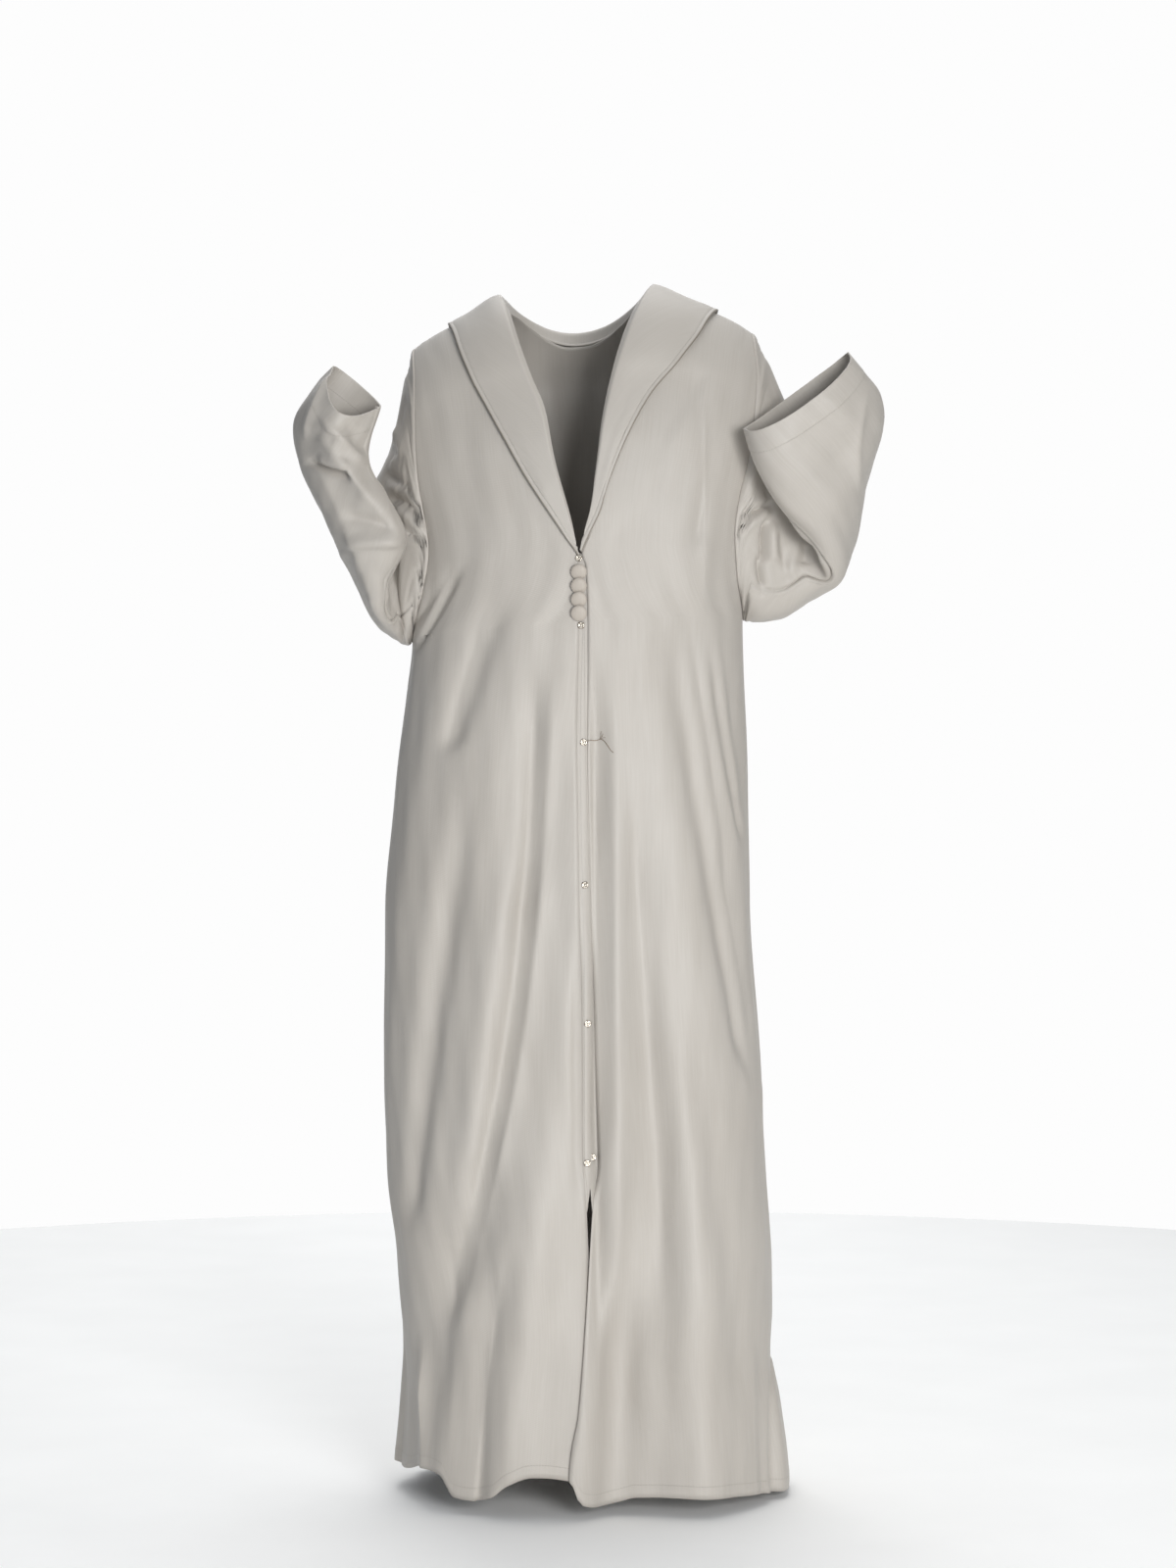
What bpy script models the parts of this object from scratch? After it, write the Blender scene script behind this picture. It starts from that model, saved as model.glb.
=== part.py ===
"""Abaya cloak: an open-fronted, full-length cloak with a broad shawl collar, a narrow
button stand under the front edges, four covered buttons, ring snaps and wide sleeves.

The cloak keeps the shape that it has when worn with both hands raised to the
shoulders. Units are metres. +X is the wearer's left, -Y the front, +Z up. The
origin is in the middle of the neck opening, level with the shoulder seams.
"""
from collections import namedtuple
from math import acos, asin, cos, exp, pi, radians, sin

import bmesh
import bpy
from mathutils import Matrix, Vector

# ---------------------------------------------------------------- driving dimensions
WALL = 0.0016             # cloth of the panels and sleeves
COLLAR_WALL = 0.0018      # doubled cloth of the collar
LENGTH = 1.350            # drop from the shoulder line to the hem, for laying out rows
SEAM = 0.0006             # gap at a seam, measured on the outer face
CLEAR = 0.0004            # gap between cloth and what is sewn on it

CAP = 0.085               # drop over which the cloth rounds over the shoulder
SHOULDER_TOP = 0.015      # shoulder line above the origin, at the middle
SHOULDER_TILT = 0.060     # the wearer's left shoulder is held a little higher
SHOULDER_DROP = 0.045     # fall of the shoulder line out to the armhole
SHOULDER_HALF = 0.200     # width at which that fall is reached
SHOULDER_CURVE = 3.5      # the higher, the later the shoulder line begins to fall
TILT_START = 0.45         # the tilt fades out between these drops
TILT_END = 0.90
SQUARE = 2.3              # squareness of the body's sections; 2 is an ellipse
ARMHOLE_DEPTH = 0.360     # drop from the shoulder line to the underarm
NECK_BACK = 0.082         # the back neckline, measured over the shoulder's round
NECK_ROUND = 2.4          # squareness of that neckline's scoop

ARM_ROWS = 10             # rows of cloth down each side of the armhole
SKIRT_ROWS = 15           # rows from the underarm to the hem
FRONT_COLUMNS = 13
BACK_COLUMNS = 24
SEAM_STRIP = 0.004        # a narrow strip of faces along each seam keeps its edge square
EDGE_SHARE = 0.020        # share of the first strip along a front edge, for its lap
SLEEVE_STEPS = 2          # rows between two sleeve sections
SLEEVE_ROUND = 0.75       # 1 makes a section an ellipse, less makes it fuller
ASIDE_FROM = 0.2          # between these shares of the way down the armhole the sleeve
ASIDE_FULL = 0.9          # comes to start a wall's thickness beside the panels
COLLAR_STEPS = 3          # columns between two collar stations

PLACKET_LAP = 0.009       # how far the button stand reaches under each front edge
PLACKET_TOP = 0.286
PLACKET_COLUMNS = 4
PLACKET_FIRST = 8         # the panel rows between which the button stand runs
PLACKET_LAST = 21

BUTTON_R = 0.0091
BUTTON_BACK_R = 0.0085
BUTTON_EDGE = 0.0010
BUTTON_DOME = 0.0028
DOME_ANGLES = (8, 30, 55)
BUTTON_SIDES = 14
BUTTON_TILT = 15.0        # each button leans over the one above it
BUTTON_X = -0.0012
BUTTON_TOP = 0.3058
BUTTON_PITCH = 0.0148
BUTTON_COUNT = 4
SNAP_R = 0.0039
SNAP_CROWN_R = 0.0031
SNAP_BORE_R = 0.0021
SNAP_FLOOR_R = 0.0017
SNAP_SIDE = 0.0007        # heights on a snap's ring: its straight side, its crown,
SNAP_CROWN = 0.0012       # the lip round its bore and the floor of the bore
SNAP_LIP = 0.0011
SNAP_FLOOR = 0.0004
SNAP_SIDES = 12
SEAT_STEP = 0.004         # how far apart the cloth is felt for to seat a piece on it

# Half widths and depths of the body at each drop below the shoulder line.
Section = namedtuple("Section", "drop right left front back")
SECTIONS = [
    Section(0.000, 0.240, 0.245, 0.088, 0.088),
    Section(0.085, 0.232, 0.240, 0.100, 0.103),
    Section(0.170, 0.215, 0.222, 0.122, 0.110),
    Section(0.250, 0.197, 0.202, 0.130, 0.108),
    Section(0.360, 0.194, 0.188, 0.131, 0.104),
    Section(0.420, 0.201, 0.190, 0.131, 0.104),
    Section(0.540, 0.215, 0.195, 0.132, 0.112),
    Section(0.680, 0.226, 0.197, 0.137, 0.124),
    Section(0.880, 0.228, 0.211, 0.146, 0.136),
    Section(0.990, 0.223, 0.214, 0.150, 0.141),
    Section(1.090, 0.212, 0.222, 0.153, 0.146),
    Section(1.190, 0.206, 0.222, 0.157, 0.151),
    Section(1.260, 0.210, 0.233, 0.161, 0.157),
    Section(1.350, 0.217, 0.243, 0.166, 0.164),
]

# Distance of the armhole seam from the middle.
Armhole = namedtuple("Armhole", "drop right left")
ARMHOLE = [
    Armhole(0.00, 0.193, 0.200),
    Armhole(0.05, 0.190, 0.203),
    Armhole(0.12, 0.189, 0.199),
    Armhole(0.17, 0.186, 0.193),
    Armhole(0.22, 0.178, 0.182),
    Armhole(0.26, 0.173, 0.177),
    Armhole(0.31, 0.181, 0.180),
    Armhole(0.36, 0.194, 0.188),
]

# The front edges, from the shoulder seam down the V and the opening to the hem.
Edge = namedtuple("Edge", "drop right left")
FRONT_EDGES = [
    Edge(0.000, -0.086, 0.075),
    Edge(0.051, -0.069, 0.048),
    Edge(0.090, -0.054, 0.038),
    Edge(0.126, -0.040, 0.029),
    Edge(0.183, -0.028, 0.020),
    Edge(0.263, -0.0064, 0.0112),
    Edge(0.300, -0.0010, 0.0080),
    Edge(0.366, -0.0010, 0.0090),
    Edge(0.495, -0.0031, 0.0095),
    Edge(0.655, -0.0010, 0.0150),
    Edge(0.810, 0.0022, 0.0210),
    Edge(0.965, 0.0030, 0.0225),
    Edge(1.020, 0.0080, 0.0165),
    Edge(1.092, 0.0110, 0.0112),
    Edge(1.253, 0.0130, -0.0010),
    Edge(1.350, 0.0150, -0.0115),
]
LAP_START = 1.000         # below this the wearer's left front comes to lie on top
LAP_FULL = 1.110
LAP_LIFT = 0.0045
LAP_FLAT = 0.018          # width along the edge that lies lapped
LAP_REACH = 0.060         # and how far from the edge the lapping ends

# The hem's drop along the front and along the back.
Hem = namedtuple("Hem", "x drop")
FRONT_HEM = [
    Hem(-0.216, 1.327),
    Hem(-0.188, 1.314),
    Hem(-0.160, 1.318),
    Hem(-0.141, 1.341),
    Hem(-0.120, 1.343),
    Hem(-0.096, 1.336),
    Hem(-0.079, 1.322),
    Hem(-0.052, 1.312),
    Hem(-0.011, 1.316),
    Hem(0.002, 1.342),
    Hem(0.028, 1.347),
    Hem(0.065, 1.338),
    Hem(0.115, 1.338),
    Hem(0.205, 1.345),
    Hem(0.243, 1.352),
]
BACK_HEM = [
    Hem(-0.217, 1.327),
    Hem(-0.170, 1.342),
    Hem(0.000, 1.350),
    Hem(0.243, 1.352),
]

# Soft folds. x and drop give the ends of a fold's line, bow how far it swings from
# straight, width its half width and depth how far it stands out (+) or sinks in (-).
Fold = namedtuple("Fold", "x0 drop0 x1 drop1 bow width depth")
FRONT_FOLDS = [
    Fold(-0.043, 0.40, -0.144, 1.15, 0.031, 0.022, -0.011),
    Fold(-0.084, 0.31, -0.150, 0.50, 0.000, 0.018, -0.007),
    Fold(-0.121, 0.52, -0.196, 1.06, -0.006, 0.020, -0.009),
    Fold(-0.132, 0.28, -0.190, 0.38, 0.000, 0.012, -0.006),
    Fold(-0.075, 0.60, -0.115, 1.00, -0.010, 0.026, 0.007),
    Fold(-0.038, 0.88, -0.082, 1.40, 0.000, 0.028, 0.013),
    Fold(-0.077, 1.04, -0.118, 1.40, -0.008, 0.013, -0.010),
    Fold(-0.186, 1.16, -0.182, 1.42, 0.000, 0.018, 0.009),
    Fold(0.016, 0.36, 0.024, 0.98, 0.012, 0.012, -0.005),
    Fold(0.099, 0.33, 0.196, 0.89, -0.004, 0.018, -0.010),
    Fold(0.145, 0.37, 0.188, 0.62, 0.000, 0.012, -0.006),
    Fold(0.065, 0.55, 0.088, 1.42, 0.002, 0.034, -0.010),
    Fold(0.112, 0.80, 0.146, 1.42, 0.000, 0.026, 0.008),
    Fold(0.059, 1.07, 0.030, 1.42, 0.000, 0.014, -0.010),
    Fold(0.004, 1.10, -0.001, 1.42, 0.000, 0.020, 0.007),
    Fold(0.222, 1.15, 0.228, 1.42, 0.000, 0.012, -0.010),
    Fold(0.128, 0.06, 0.129, 0.29, 0.014, 0.014, -0.005),
]
BACK_FOLDS = [
    Fold(-0.110, 0.30, -0.150, 1.42, 0.010, 0.026, -0.014),
    Fold(-0.045, 0.36, -0.062, 1.42, -0.008, 0.024, -0.012),
    Fold(0.015, 0.30, 0.012, 1.42, 0.006, 0.022, -0.013),
    Fold(0.070, 0.42, 0.088, 1.42, 0.000, 0.026, -0.011),
    Fold(0.122, 0.30, 0.166, 1.42, -0.008, 0.024, -0.014),
    Fold(-0.100, 0.70, -0.108, 1.42, 0.000, 0.024, 0.011),
    Fold(0.045, 0.75, 0.050, 1.42, 0.000, 0.022, 0.010),
    Fold(-0.020, 0.80, -0.024, 1.42, 0.000, 0.020, 0.010),
    Fold(-0.196, 0.60, -0.204, 1.42, 0.000, 0.018, -0.008),
    Fold(0.198, 0.70, 0.214, 1.42, 0.000, 0.018, -0.008),
]
FOLD_GIRTH = 0.190        # turns a section's angle into a distance round it
FOLD_RISE = 0.32          # part of its length over which a fold comes, and goes
FOLD_FADE = 0.12

# Collar stations from the wearer's right front, round the neck, to the left front.
# over is measured over the shoulder's round, + to the front and - to the back.
Station = namedtuple("Station", "roll_x roll_over edge_x edge_over stand")
COLLAR = [
    Station(-0.0034, 0.325, -0.0090, 0.325, 0.001),
    Station(-0.0066, 0.311, -0.0228, 0.306, 0.001),
    Station(-0.0284, 0.231, -0.0576, 0.253, 0.002),
    Station(-0.0394, 0.175, -0.0842, 0.205, 0.003),
    Station(-0.0537, 0.139, -0.1019, 0.171, 0.004),
    Station(-0.0693, 0.096, -0.1241, 0.125, 0.006),
    Station(-0.0800, 0.050, -0.1410, 0.075, 0.009),
    Station(-0.0860, 0.000, -0.1530, 0.000, 0.014),
    Station(-0.0700, -0.046, -0.1400, -0.082, 0.019),
    Station(-0.0380, -0.073, -0.0900, -0.150, 0.023),
    Station(-0.0030, -0.082, -0.0050, -0.180, 0.025),
    Station(0.0330, -0.074, 0.0850, -0.153, 0.024),
    Station(0.0620, -0.046, 0.1430, -0.085, 0.020),
    Station(0.0750, 0.000, 0.1600, 0.000, 0.015),
    Station(0.0640, 0.050, 0.1417, 0.074, 0.009),
    Station(0.0481, 0.099, 0.1150, 0.120, 0.006),
    Station(0.0360, 0.139, 0.0800, 0.163, 0.004),
    Station(0.0255, 0.189, 0.0523, 0.212, 0.003),
    Station(0.0190, 0.240, 0.0312, 0.262, 0.002),
    Station(0.0122, 0.303, 0.0180, 0.303, 0.001),
]
COLLAR_LIFT = 0.0055      # height of the collar's fall over the panel
COLLAR_SEAT = 0.0026      # height of its neck seam over the panel's edge
COLLAR_RISE = 3.2         # a narrow collar rises no more than this times its width squared
COLLAR_ROLL = 0.12        # share of its width at which it has risen to the roll line
COLLAR_LAID = 0.75        # share at which it lies down again
COLLAR_ACROSS = [0.00, 0.05, 0.12, 0.25, 0.50, 0.75, 1.00]

# Sleeve sections from the armhole round the bent elbow to the cuff. under is on the
# underarm seam and top on the shoulder line; out and inn lead from the middle of the
# two to the outer wall and to the wall that faces the bend.
Ring = namedtuple("Ring", "under top out inn")
SLEEVE_LEFT = [
    Ring((0.206, 0.000, -0.352), (0.236, 0.014, -0.092), (0.000, 0.060, 0.000), (0.000, -0.060, 0.000)),
    Ring((0.237, -0.002, -0.345), (0.265, 0.035, -0.138), (0.014, 0.052, 0.000), (-0.010, -0.052, 0.000)),
    Ring((0.270, -0.018, -0.324), (0.291, 0.042, -0.165), (0.022, 0.034, -0.002), (-0.022, -0.036, 0.000)),
    Ring((0.292, -0.046, -0.306), (0.319, 0.012, -0.156), (0.017, -0.002, -0.002), (-0.022, 0.000, 0.000)),
    Ring((0.265, -0.084, -0.266), (0.342, -0.036, -0.130), (0.014, -0.032, 0.004), (-0.014, 0.026, 0.000)),
    Ring((0.227, -0.104, -0.228), (0.340, -0.070, -0.098), (0.008, -0.036, -0.004), (-0.004, 0.030, 0.000)),
    Ring((0.199, -0.116, -0.182), (0.321, -0.090, -0.0745), (0.010, -0.037, -0.010), (0.000, 0.030, 0.000)),
    Ring((0.1855, -0.120, -0.140), (0.302, -0.100, -0.0535), (0.012, -0.037, -0.018), (0.000, 0.030, 0.000)),
]
SLEEVE_RIGHT = [
    Ring((-0.199, -0.006, -0.379), (-0.212, 0.014, -0.116), (0.000, 0.058, 0.000), (0.000, -0.058, 0.000)),
    Ring((-0.208, -0.010, -0.375), (-0.234, 0.030, -0.178), (-0.010, 0.050, 0.000), (0.008, -0.046, 0.000)),
    Ring((-0.217, -0.034, -0.369), (-0.264, 0.036, -0.205), (-0.021, 0.034, -0.001), (0.018, -0.030, 0.000)),
    Ring((-0.223, -0.066, -0.352), (-0.296, 0.004, -0.196), (-0.015, -0.004, 0.000), (0.018, 0.002, 0.000)),
    Ring((-0.219, -0.092, -0.312), (-0.318, -0.044, -0.166), (-0.012, -0.034, -0.004), (0.010, 0.026, 0.000)),
    Ring((-0.199, -0.104, -0.258), (-0.323, -0.078, -0.128), (-0.008, -0.038, -0.006), (0.004, 0.028, 0.000)),
    Ring((-0.240, -0.112, -0.180), (-0.302, -0.096, -0.096), (-0.012, -0.042, -0.020), (0.004, 0.028, 0.000)),
    Ring((-0.2275, -0.114, -0.116), (-0.277, -0.104, -0.071), (-0.019, -0.044, -0.031), (0.004, 0.028, 0.004)),
]

# Ring snaps down the opening. lift is the height of the cloth that each is sewn on,
# measured from the outer face of the front panels.
Snap = namedtuple("Snap", "name x drop lift")
ON_FRONT = 0.0
ON_PLACKET = -WALL - 2.0 * CLEAR
SNAPS = [
    Snap("snap_neck", -0.0014, 0.2908, ON_FRONT),
    Snap("snap_button", 0.0013, 0.3636, ON_FRONT),
    Snap("snap_1", 0.0043, 0.4950, ON_PLACKET),
    Snap("snap_2", 0.0057, 0.6550, ON_PLACKET),
    Snap("snap_3", 0.0093, 0.8100, ON_PLACKET),
    Snap("snap_4", 0.0086, 0.9650, ON_PLACKET),
    Snap("snap_4_mate", 0.0160, 0.9585, ON_PLACKET),
]


# ---------------------------------------------------------------- small mathematics
def read(table, key, column, value):
    """A column's value between a table's rows, on a smooth curve without overshoot."""
    keys = [getattr(row, key) for row in table]
    values = [getattr(row, column) for row in table]
    if value <= keys[0]:
        return values[0]
    if value >= keys[-1]:
        return values[-1]
    last = len(keys) - 2
    i = next(n for n in range(last + 1) if keys[n] <= value <= keys[n + 1])
    slopes = [(values[n + 1] - values[n]) / (keys[n + 1] - keys[n]) for n in range(last + 1)]

    def tangent(n):
        if n == 0 or n > last or slopes[n - 1] * slopes[n] <= 0.0:
            return 0.0
        return 2.0 * slopes[n - 1] * slopes[n] / (slopes[n - 1] + slopes[n])

    step = keys[i + 1] - keys[i]
    t = (value - keys[i]) / step
    return (values[i] * (1 + 2 * t) * (1 - t) ** 2 + values[i + 1] * t * t * (3 - 2 * t)
            + step * (tangent(i) * t * (1 - t) ** 2 - tangent(i + 1) * t * t * (1 - t)))


def smooth(low, high, value):
    t = min(1.0, max(0.0, (value - low) / (high - low)))
    return t * t * (3.0 - 2.0 * t)


def through(before, start, end, after, t):
    """A point on the Catmull-Rom curve through four points, between start and end."""
    return 0.5 * (2.0 * start + (end - before) * t
                  + (2.0 * before - 5.0 * start + 4.0 * end - after) * t * t
                  + (3.0 * start - before - 3.0 * end + after) * t ** 3)


def refine(points, steps):
    """The points with steps - 1 new ones between each two, on one smooth curve."""
    fine = []
    for i in range(len(points) - 1):
        before = points[max(i - 1, 0)]
        after = points[min(i + 2, len(points) - 1)]
        for n in range(steps):
            fine.append(through(before, points[i], points[i + 1], after, n / steps))
    fine.append(points[-1])
    return fine


# ---------------------------------------------------------------- the body's form
def over_from_drop(drop):
    """The way over the shoulder's round down to a drop below the shoulder line."""
    if drop < CAP:
        return CAP * acos(1.0 - drop / CAP)
    return CAP * pi / 2 + drop - CAP


def drop_from_over(over):
    quarter = CAP * pi / 2
    if over < quarter:
        return CAP * (1.0 - cos(over / CAP))
    return CAP + over - quarter


def shoulder_rise(x, drop):
    """How far a point stands above its own drop, from the shoulder line's shape."""
    fall = SHOULDER_DROP * (abs(x) / SHOULDER_HALF) ** SHOULDER_CURVE
    fade = max(0.0, 1.0 - drop / ARMHOLE_DEPTH)
    tilt = SHOULDER_TILT * x * smooth(TILT_END, TILT_START, drop)
    return (SHOULDER_TOP - fall) * fade + tilt


def half_width(x, drop):
    return read(SECTIONS, "drop", "left" if x >= 0.0 else "right", drop)


def angle_at(x, drop):
    """The section angle from the centre line (0) to the side seam (90 degrees)."""
    share = min(1.0, abs(x) / half_width(x, drop))
    return (1.0 if x >= 0.0 else -1.0) * asin(share ** (SQUARE / 2.0))


def x_at(angle, drop):
    sign = 1.0 if angle >= 0.0 else -1.0
    return sign * half_width(angle, drop) * abs(sin(angle)) ** (2.0 / SQUARE)


def around(angle, front):
    """The angle round the whole body, 0 at the centre front and pi at the centre back."""
    if front:
        return angle
    return (pi if angle >= 0.0 else -pi) - angle


def fold_relief(angle, front, drop):
    here = around(angle, front)
    total = 0.0
    for folds, on_front in ((FRONT_FOLDS, True), (BACK_FOLDS, False)):
        for fold in folds:
            t = (drop - fold.drop0) / (fold.drop1 - fold.drop0)
            if not 0.0 < t < 1.0:
                continue
            x = fold.x0 + (fold.x1 - fold.x0) * t + fold.bow * 4.0 * t * (1.0 - t)
            turn = abs(here - around(angle_at(x, drop), on_front))
            away = min(turn, 2.0 * pi - turn) * FOLD_GIRTH / fold.width
            strength = smooth(0.0, FOLD_RISE, t) * smooth(1.0, 1.0 - FOLD_FADE, t)
            total += fold.depth * strength * exp(-away * away)
    return total


def body_point(angle, over, lift=0.0):
    """A point of the body's outer face, moved out by lift. over is + on the front."""
    front = over >= 0.0
    drop = drop_from_over(abs(over))
    depth = read(SECTIONS, "drop", "front" if front else "back", drop)
    if abs(over) < CAP * pi / 2:
        depth *= sin(abs(over) / CAP)
    x = x_at(angle, drop)
    facing = -1.0 if front else 1.0
    y = facing * depth * max(0.0, cos(angle)) ** (2.0 / SQUARE)
    z = -drop + shoulder_rise(x, drop)
    lift += fold_relief(angle, front, drop)
    if lift == 0.0:
        return Vector((x, y, z))
    return Vector((x, y, z)) + facing_out(x, y, over) * lift


def facing_out(x, y, over):
    """The outward direction at a point of the body."""
    drop = drop_from_over(abs(over))
    depth = read(SECTIONS, "drop", "front" if over >= 0.0 else "back", drop)
    out = Vector((x / half_width(x, drop) ** 2, y / depth ** 2, 0.0))
    if drop < CAP:
        round_over = abs(over) / CAP
        out = out * sin(round_over)
        out.z = cos(round_over) / depth
    return out.normalized()


def row_drops(hem):
    """Drops of a panel's rows: a seam strip, close rows to the underarm, even below."""
    arm = [ARMHOLE_DEPTH * 0.5 * (1.0 - cos(pi * k / ARM_ROWS)) for k in range(ARM_ROWS + 1)]
    strip = [drop_from_over(SEAM_STRIP)]
    skirt = [ARMHOLE_DEPTH + (hem - ARMHOLE_DEPTH) * k / SKIRT_ROWS for k in range(1, SKIRT_ROWS + 1)]
    return arm[:1] + strip + arm[1:] + skirt


UNDERARM_ROW = ARM_ROWS + 1
HEM_ROW = UNDERARM_ROW + SKIRT_ROWS


def strips(count, first, last):
    """Shares across a panel from 0 to 1, with a narrow strip at one end or both."""
    inner = [first + (1.0 - first - last) * k / count for k in range(count + 1)]
    return ([0.0] if first > 0.0 else []) + inner + ([1.0] if last > 0.0 else [])


def outer_angle(side, drop, facing):
    """The panel's outer edge: the armhole seam, and below it the side seam."""
    if drop < ARMHOLE_DEPTH:
        reach = read(ARMHOLE, "drop", side, drop)
        angle = abs(angle_at(reach if side == "left" else -reach, drop))
    else:
        angle = pi / 2
    depth = read(SECTIONS, "drop", facing, drop)
    most = pi / 2 - (SEAM / 2 / depth) ** (SQUARE / 2.0)
    return min(angle, most)


def lap_lift(side, x, drop):
    """Near the hem the wearer's left front lies on the right one."""
    edge = read(FRONT_EDGES, "drop", side, drop)
    near = smooth(LAP_REACH, LAP_FLAT, abs(x - edge))
    lift = LAP_LIFT * smooth(LAP_START, LAP_FULL, drop) * near
    return lift if side == "left" else -lift


def front_point(side, u, row):
    """Front panel: u from the front edge to the armhole and side seam."""
    sign = 1.0 if side == "left" else -1.0
    drop = row_drops(LENGTH)[row]
    outer = sign * outer_angle(side, drop, "front")
    inner = angle_at(read(FRONT_EDGES, "drop", side, drop), drop)
    angle = inner + (outer - inner) * u
    if row > UNDERARM_ROW:
        drop = row_drops(read(FRONT_HEM, "x", "drop", x_at(angle, LENGTH)))[row]
    over = max(over_from_drop(drop), SEAM / 2)
    return body_point(angle, over, lap_lift(side, x_at(angle, drop), drop))


def back_point(u, row):
    """Back panel: u from the wearer's right side to the left, with a scooped neck."""
    drop = row_drops(LENGTH)[row]
    right = outer_angle("right", drop, "back")
    left = outer_angle("left", drop, "back")
    angle = -right + (right + left) * u
    over = over_from_drop(drop)
    full = over_from_drop(ARMHOLE_DEPTH)
    scoop = neck_over(x_at(angle, drop))
    if over < full:
        over = scoop + over * (1.0 - scoop / full)
    if row > UNDERARM_ROW:
        over = over_from_drop(row_drops(read(BACK_HEM, "x", "drop", x_at(angle, LENGTH)))[row])
    return body_point(angle, -max(over, SEAM / 2))


def neck_over(x):
    """The back neckline's way down the back, 0 at the shoulder seams."""
    half = -FRONT_EDGES[0].right if x < 0.0 else FRONT_EDGES[0].left
    share = abs(x) / half
    return NECK_BACK * max(0.0, 1.0 - share ** NECK_ROUND)


# ---------------------------------------------------------------- the other pieces
def sleeve_grid(side, rings):
    """Rows of points round the sleeve, from the armhole to the cuff."""
    sign = 1.0 if side == "left" else -1.0
    drops = row_drops(LENGTH)[:UNDERARM_ROW + 1]
    drops.pop(1)
    front = [body_point(sign * outer_angle(side, d, "front"), over_from_drop(d)) for d in drops]
    back = [body_point(sign * outer_angle(side, d, "back"), -over_from_drop(d)) for d in drops]
    back[0] = front[0]
    back[-1] = front[-1]
    armhole = front + back[-2:0:-1]
    count = len(armhole)
    keys = []
    for ring in rings:
        under, top = Vector(ring.under), Vector(ring.top)
        middle, reach = (under + top) / 2, (top - under) / 2
        points = []
        for k in range(count):
            turn = 2.0 * pi * k / count
            bulge = Vector(ring.inn) if turn < pi else Vector(ring.out)
            points.append(middle + reach * cos(turn) + bulge * abs(sin(turn)) ** SLEEVE_ROUND)
        keys.append(points)
    start = []
    for k, seam in enumerate(armhole):
        away = keys[0][k] - seam
        away.z = max(away.z, 0.0)
        aside = Vector((seam.x / SHOULDER_HALF ** 2, seam.y / CAP ** 2, 0.0)).normalized()
        below = smooth(ASIDE_FROM, ASIDE_FULL, (1.0 - cos(2.0 * pi * k / count)) / 2.0)
        start.append(seam + away.normalized() * SEAM + aside * WALL * below)
    columns = [refine([start[k]] + [key[k] for key in keys], SLEEVE_STEPS) for k in range(count)]
    return [list(row) for row in zip(*columns)]


def collar_point(a, b):
    """Collar: a along its length, b from the neck seam over the roll to the edge."""
    place = a * (len(COLLAR) - 1)
    i = min(int(place), len(COLLAR) - 2)
    t = place - i
    rows = [COLLAR[min(max(i + n, 0), len(COLLAR) - 1)] for n in (-1, 0, 1, 2)]

    def value(column):
        return through(*[getattr(row, column) for row in rows], t)

    roll_x, roll_over = value("roll_x"), value("roll_over")
    edge_x, edge_over = value("edge_x"), value("edge_over")
    x = roll_x + (edge_x - roll_x) * b
    over = roll_over + (edge_over - roll_over) * b
    rise = smooth(0.0, COLLAR_ROLL, b)
    most = COLLAR_RISE * Vector((edge_x - roll_x, edge_over - roll_over)).length ** 2
    lift = COLLAR_SEAT + min(COLLAR_LIFT - COLLAR_SEAT, most) * rise
    stand = min(value("stand"), most) * rise * (1.0 - smooth(COLLAR_ROLL, COLLAR_LAID, b))
    point = body_point(angle_at(x, drop_from_over(abs(over))), over, lift)
    return point + Vector((0.0, 0.0, stand))


def placket_point(u, row):
    """The button stand behind the front edges, along the panels' own rows."""
    drop = max(PLACKET_TOP, row_drops(LENGTH)[PLACKET_FIRST + row])
    low = read(FRONT_EDGES, "drop", "right", drop) - PLACKET_LAP
    high = read(FRONT_EDGES, "drop", "left", drop) + PLACKET_LAP
    x = low + (high - low) * u
    return body_point(angle_at(x, drop), over_from_drop(drop), -WALL - 2.0 * CLEAR)


# ---------------------------------------------------------------- making the objects
def material(name, colour, roughness, metallic=0.0):
    made = bpy.data.materials.new(name)
    made.use_nodes = True
    shader = made.node_tree.nodes["Principled BSDF"]
    shader.inputs["Base Color"].default_value = (*colour, 1.0)
    shader.inputs["Roughness"].default_value = roughness
    shader.inputs["Metallic"].default_value = metallic
    return made


def finish(mesh_maker, name, finish_material):
    mesh = bpy.data.meshes.new(name)
    mesh_maker.to_mesh(mesh)
    mesh_maker.free()
    mesh.materials.append(finish_material)
    mesh.shade_smooth()
    item = bpy.data.objects.new(name, mesh)
    bpy.context.scene.collection.objects.link(item)
    return item


def thicken(item, thickness, offset):
    wall = item.modifiers.new("wall", "SOLIDIFY")
    wall.thickness = thickness
    wall.offset = offset
    wall.use_even_offset = False
    return item


def panel(name, shares, rows, point, cloth, thickness, outward, flip):
    """A sheet of cloth on a (u, row) grid, thickened inwards or outwards."""
    sheet = bmesh.new()
    columns = len(shares) - 1
    bmesh.ops.create_grid(sheet, x_segments=columns, y_segments=rows, size=0.5)
    for vertex in sheet.verts:
        column = round((vertex.co.x + 0.5) * columns)
        row = round((0.5 - vertex.co.y) * rows)
        vertex.co = point(shares[column], row)
    if flip:
        bmesh.ops.reverse_faces(sheet, faces=sheet.faces)
    return thicken(finish(sheet, name, cloth), thickness, 1.0 if outward else -1.0)


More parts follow.
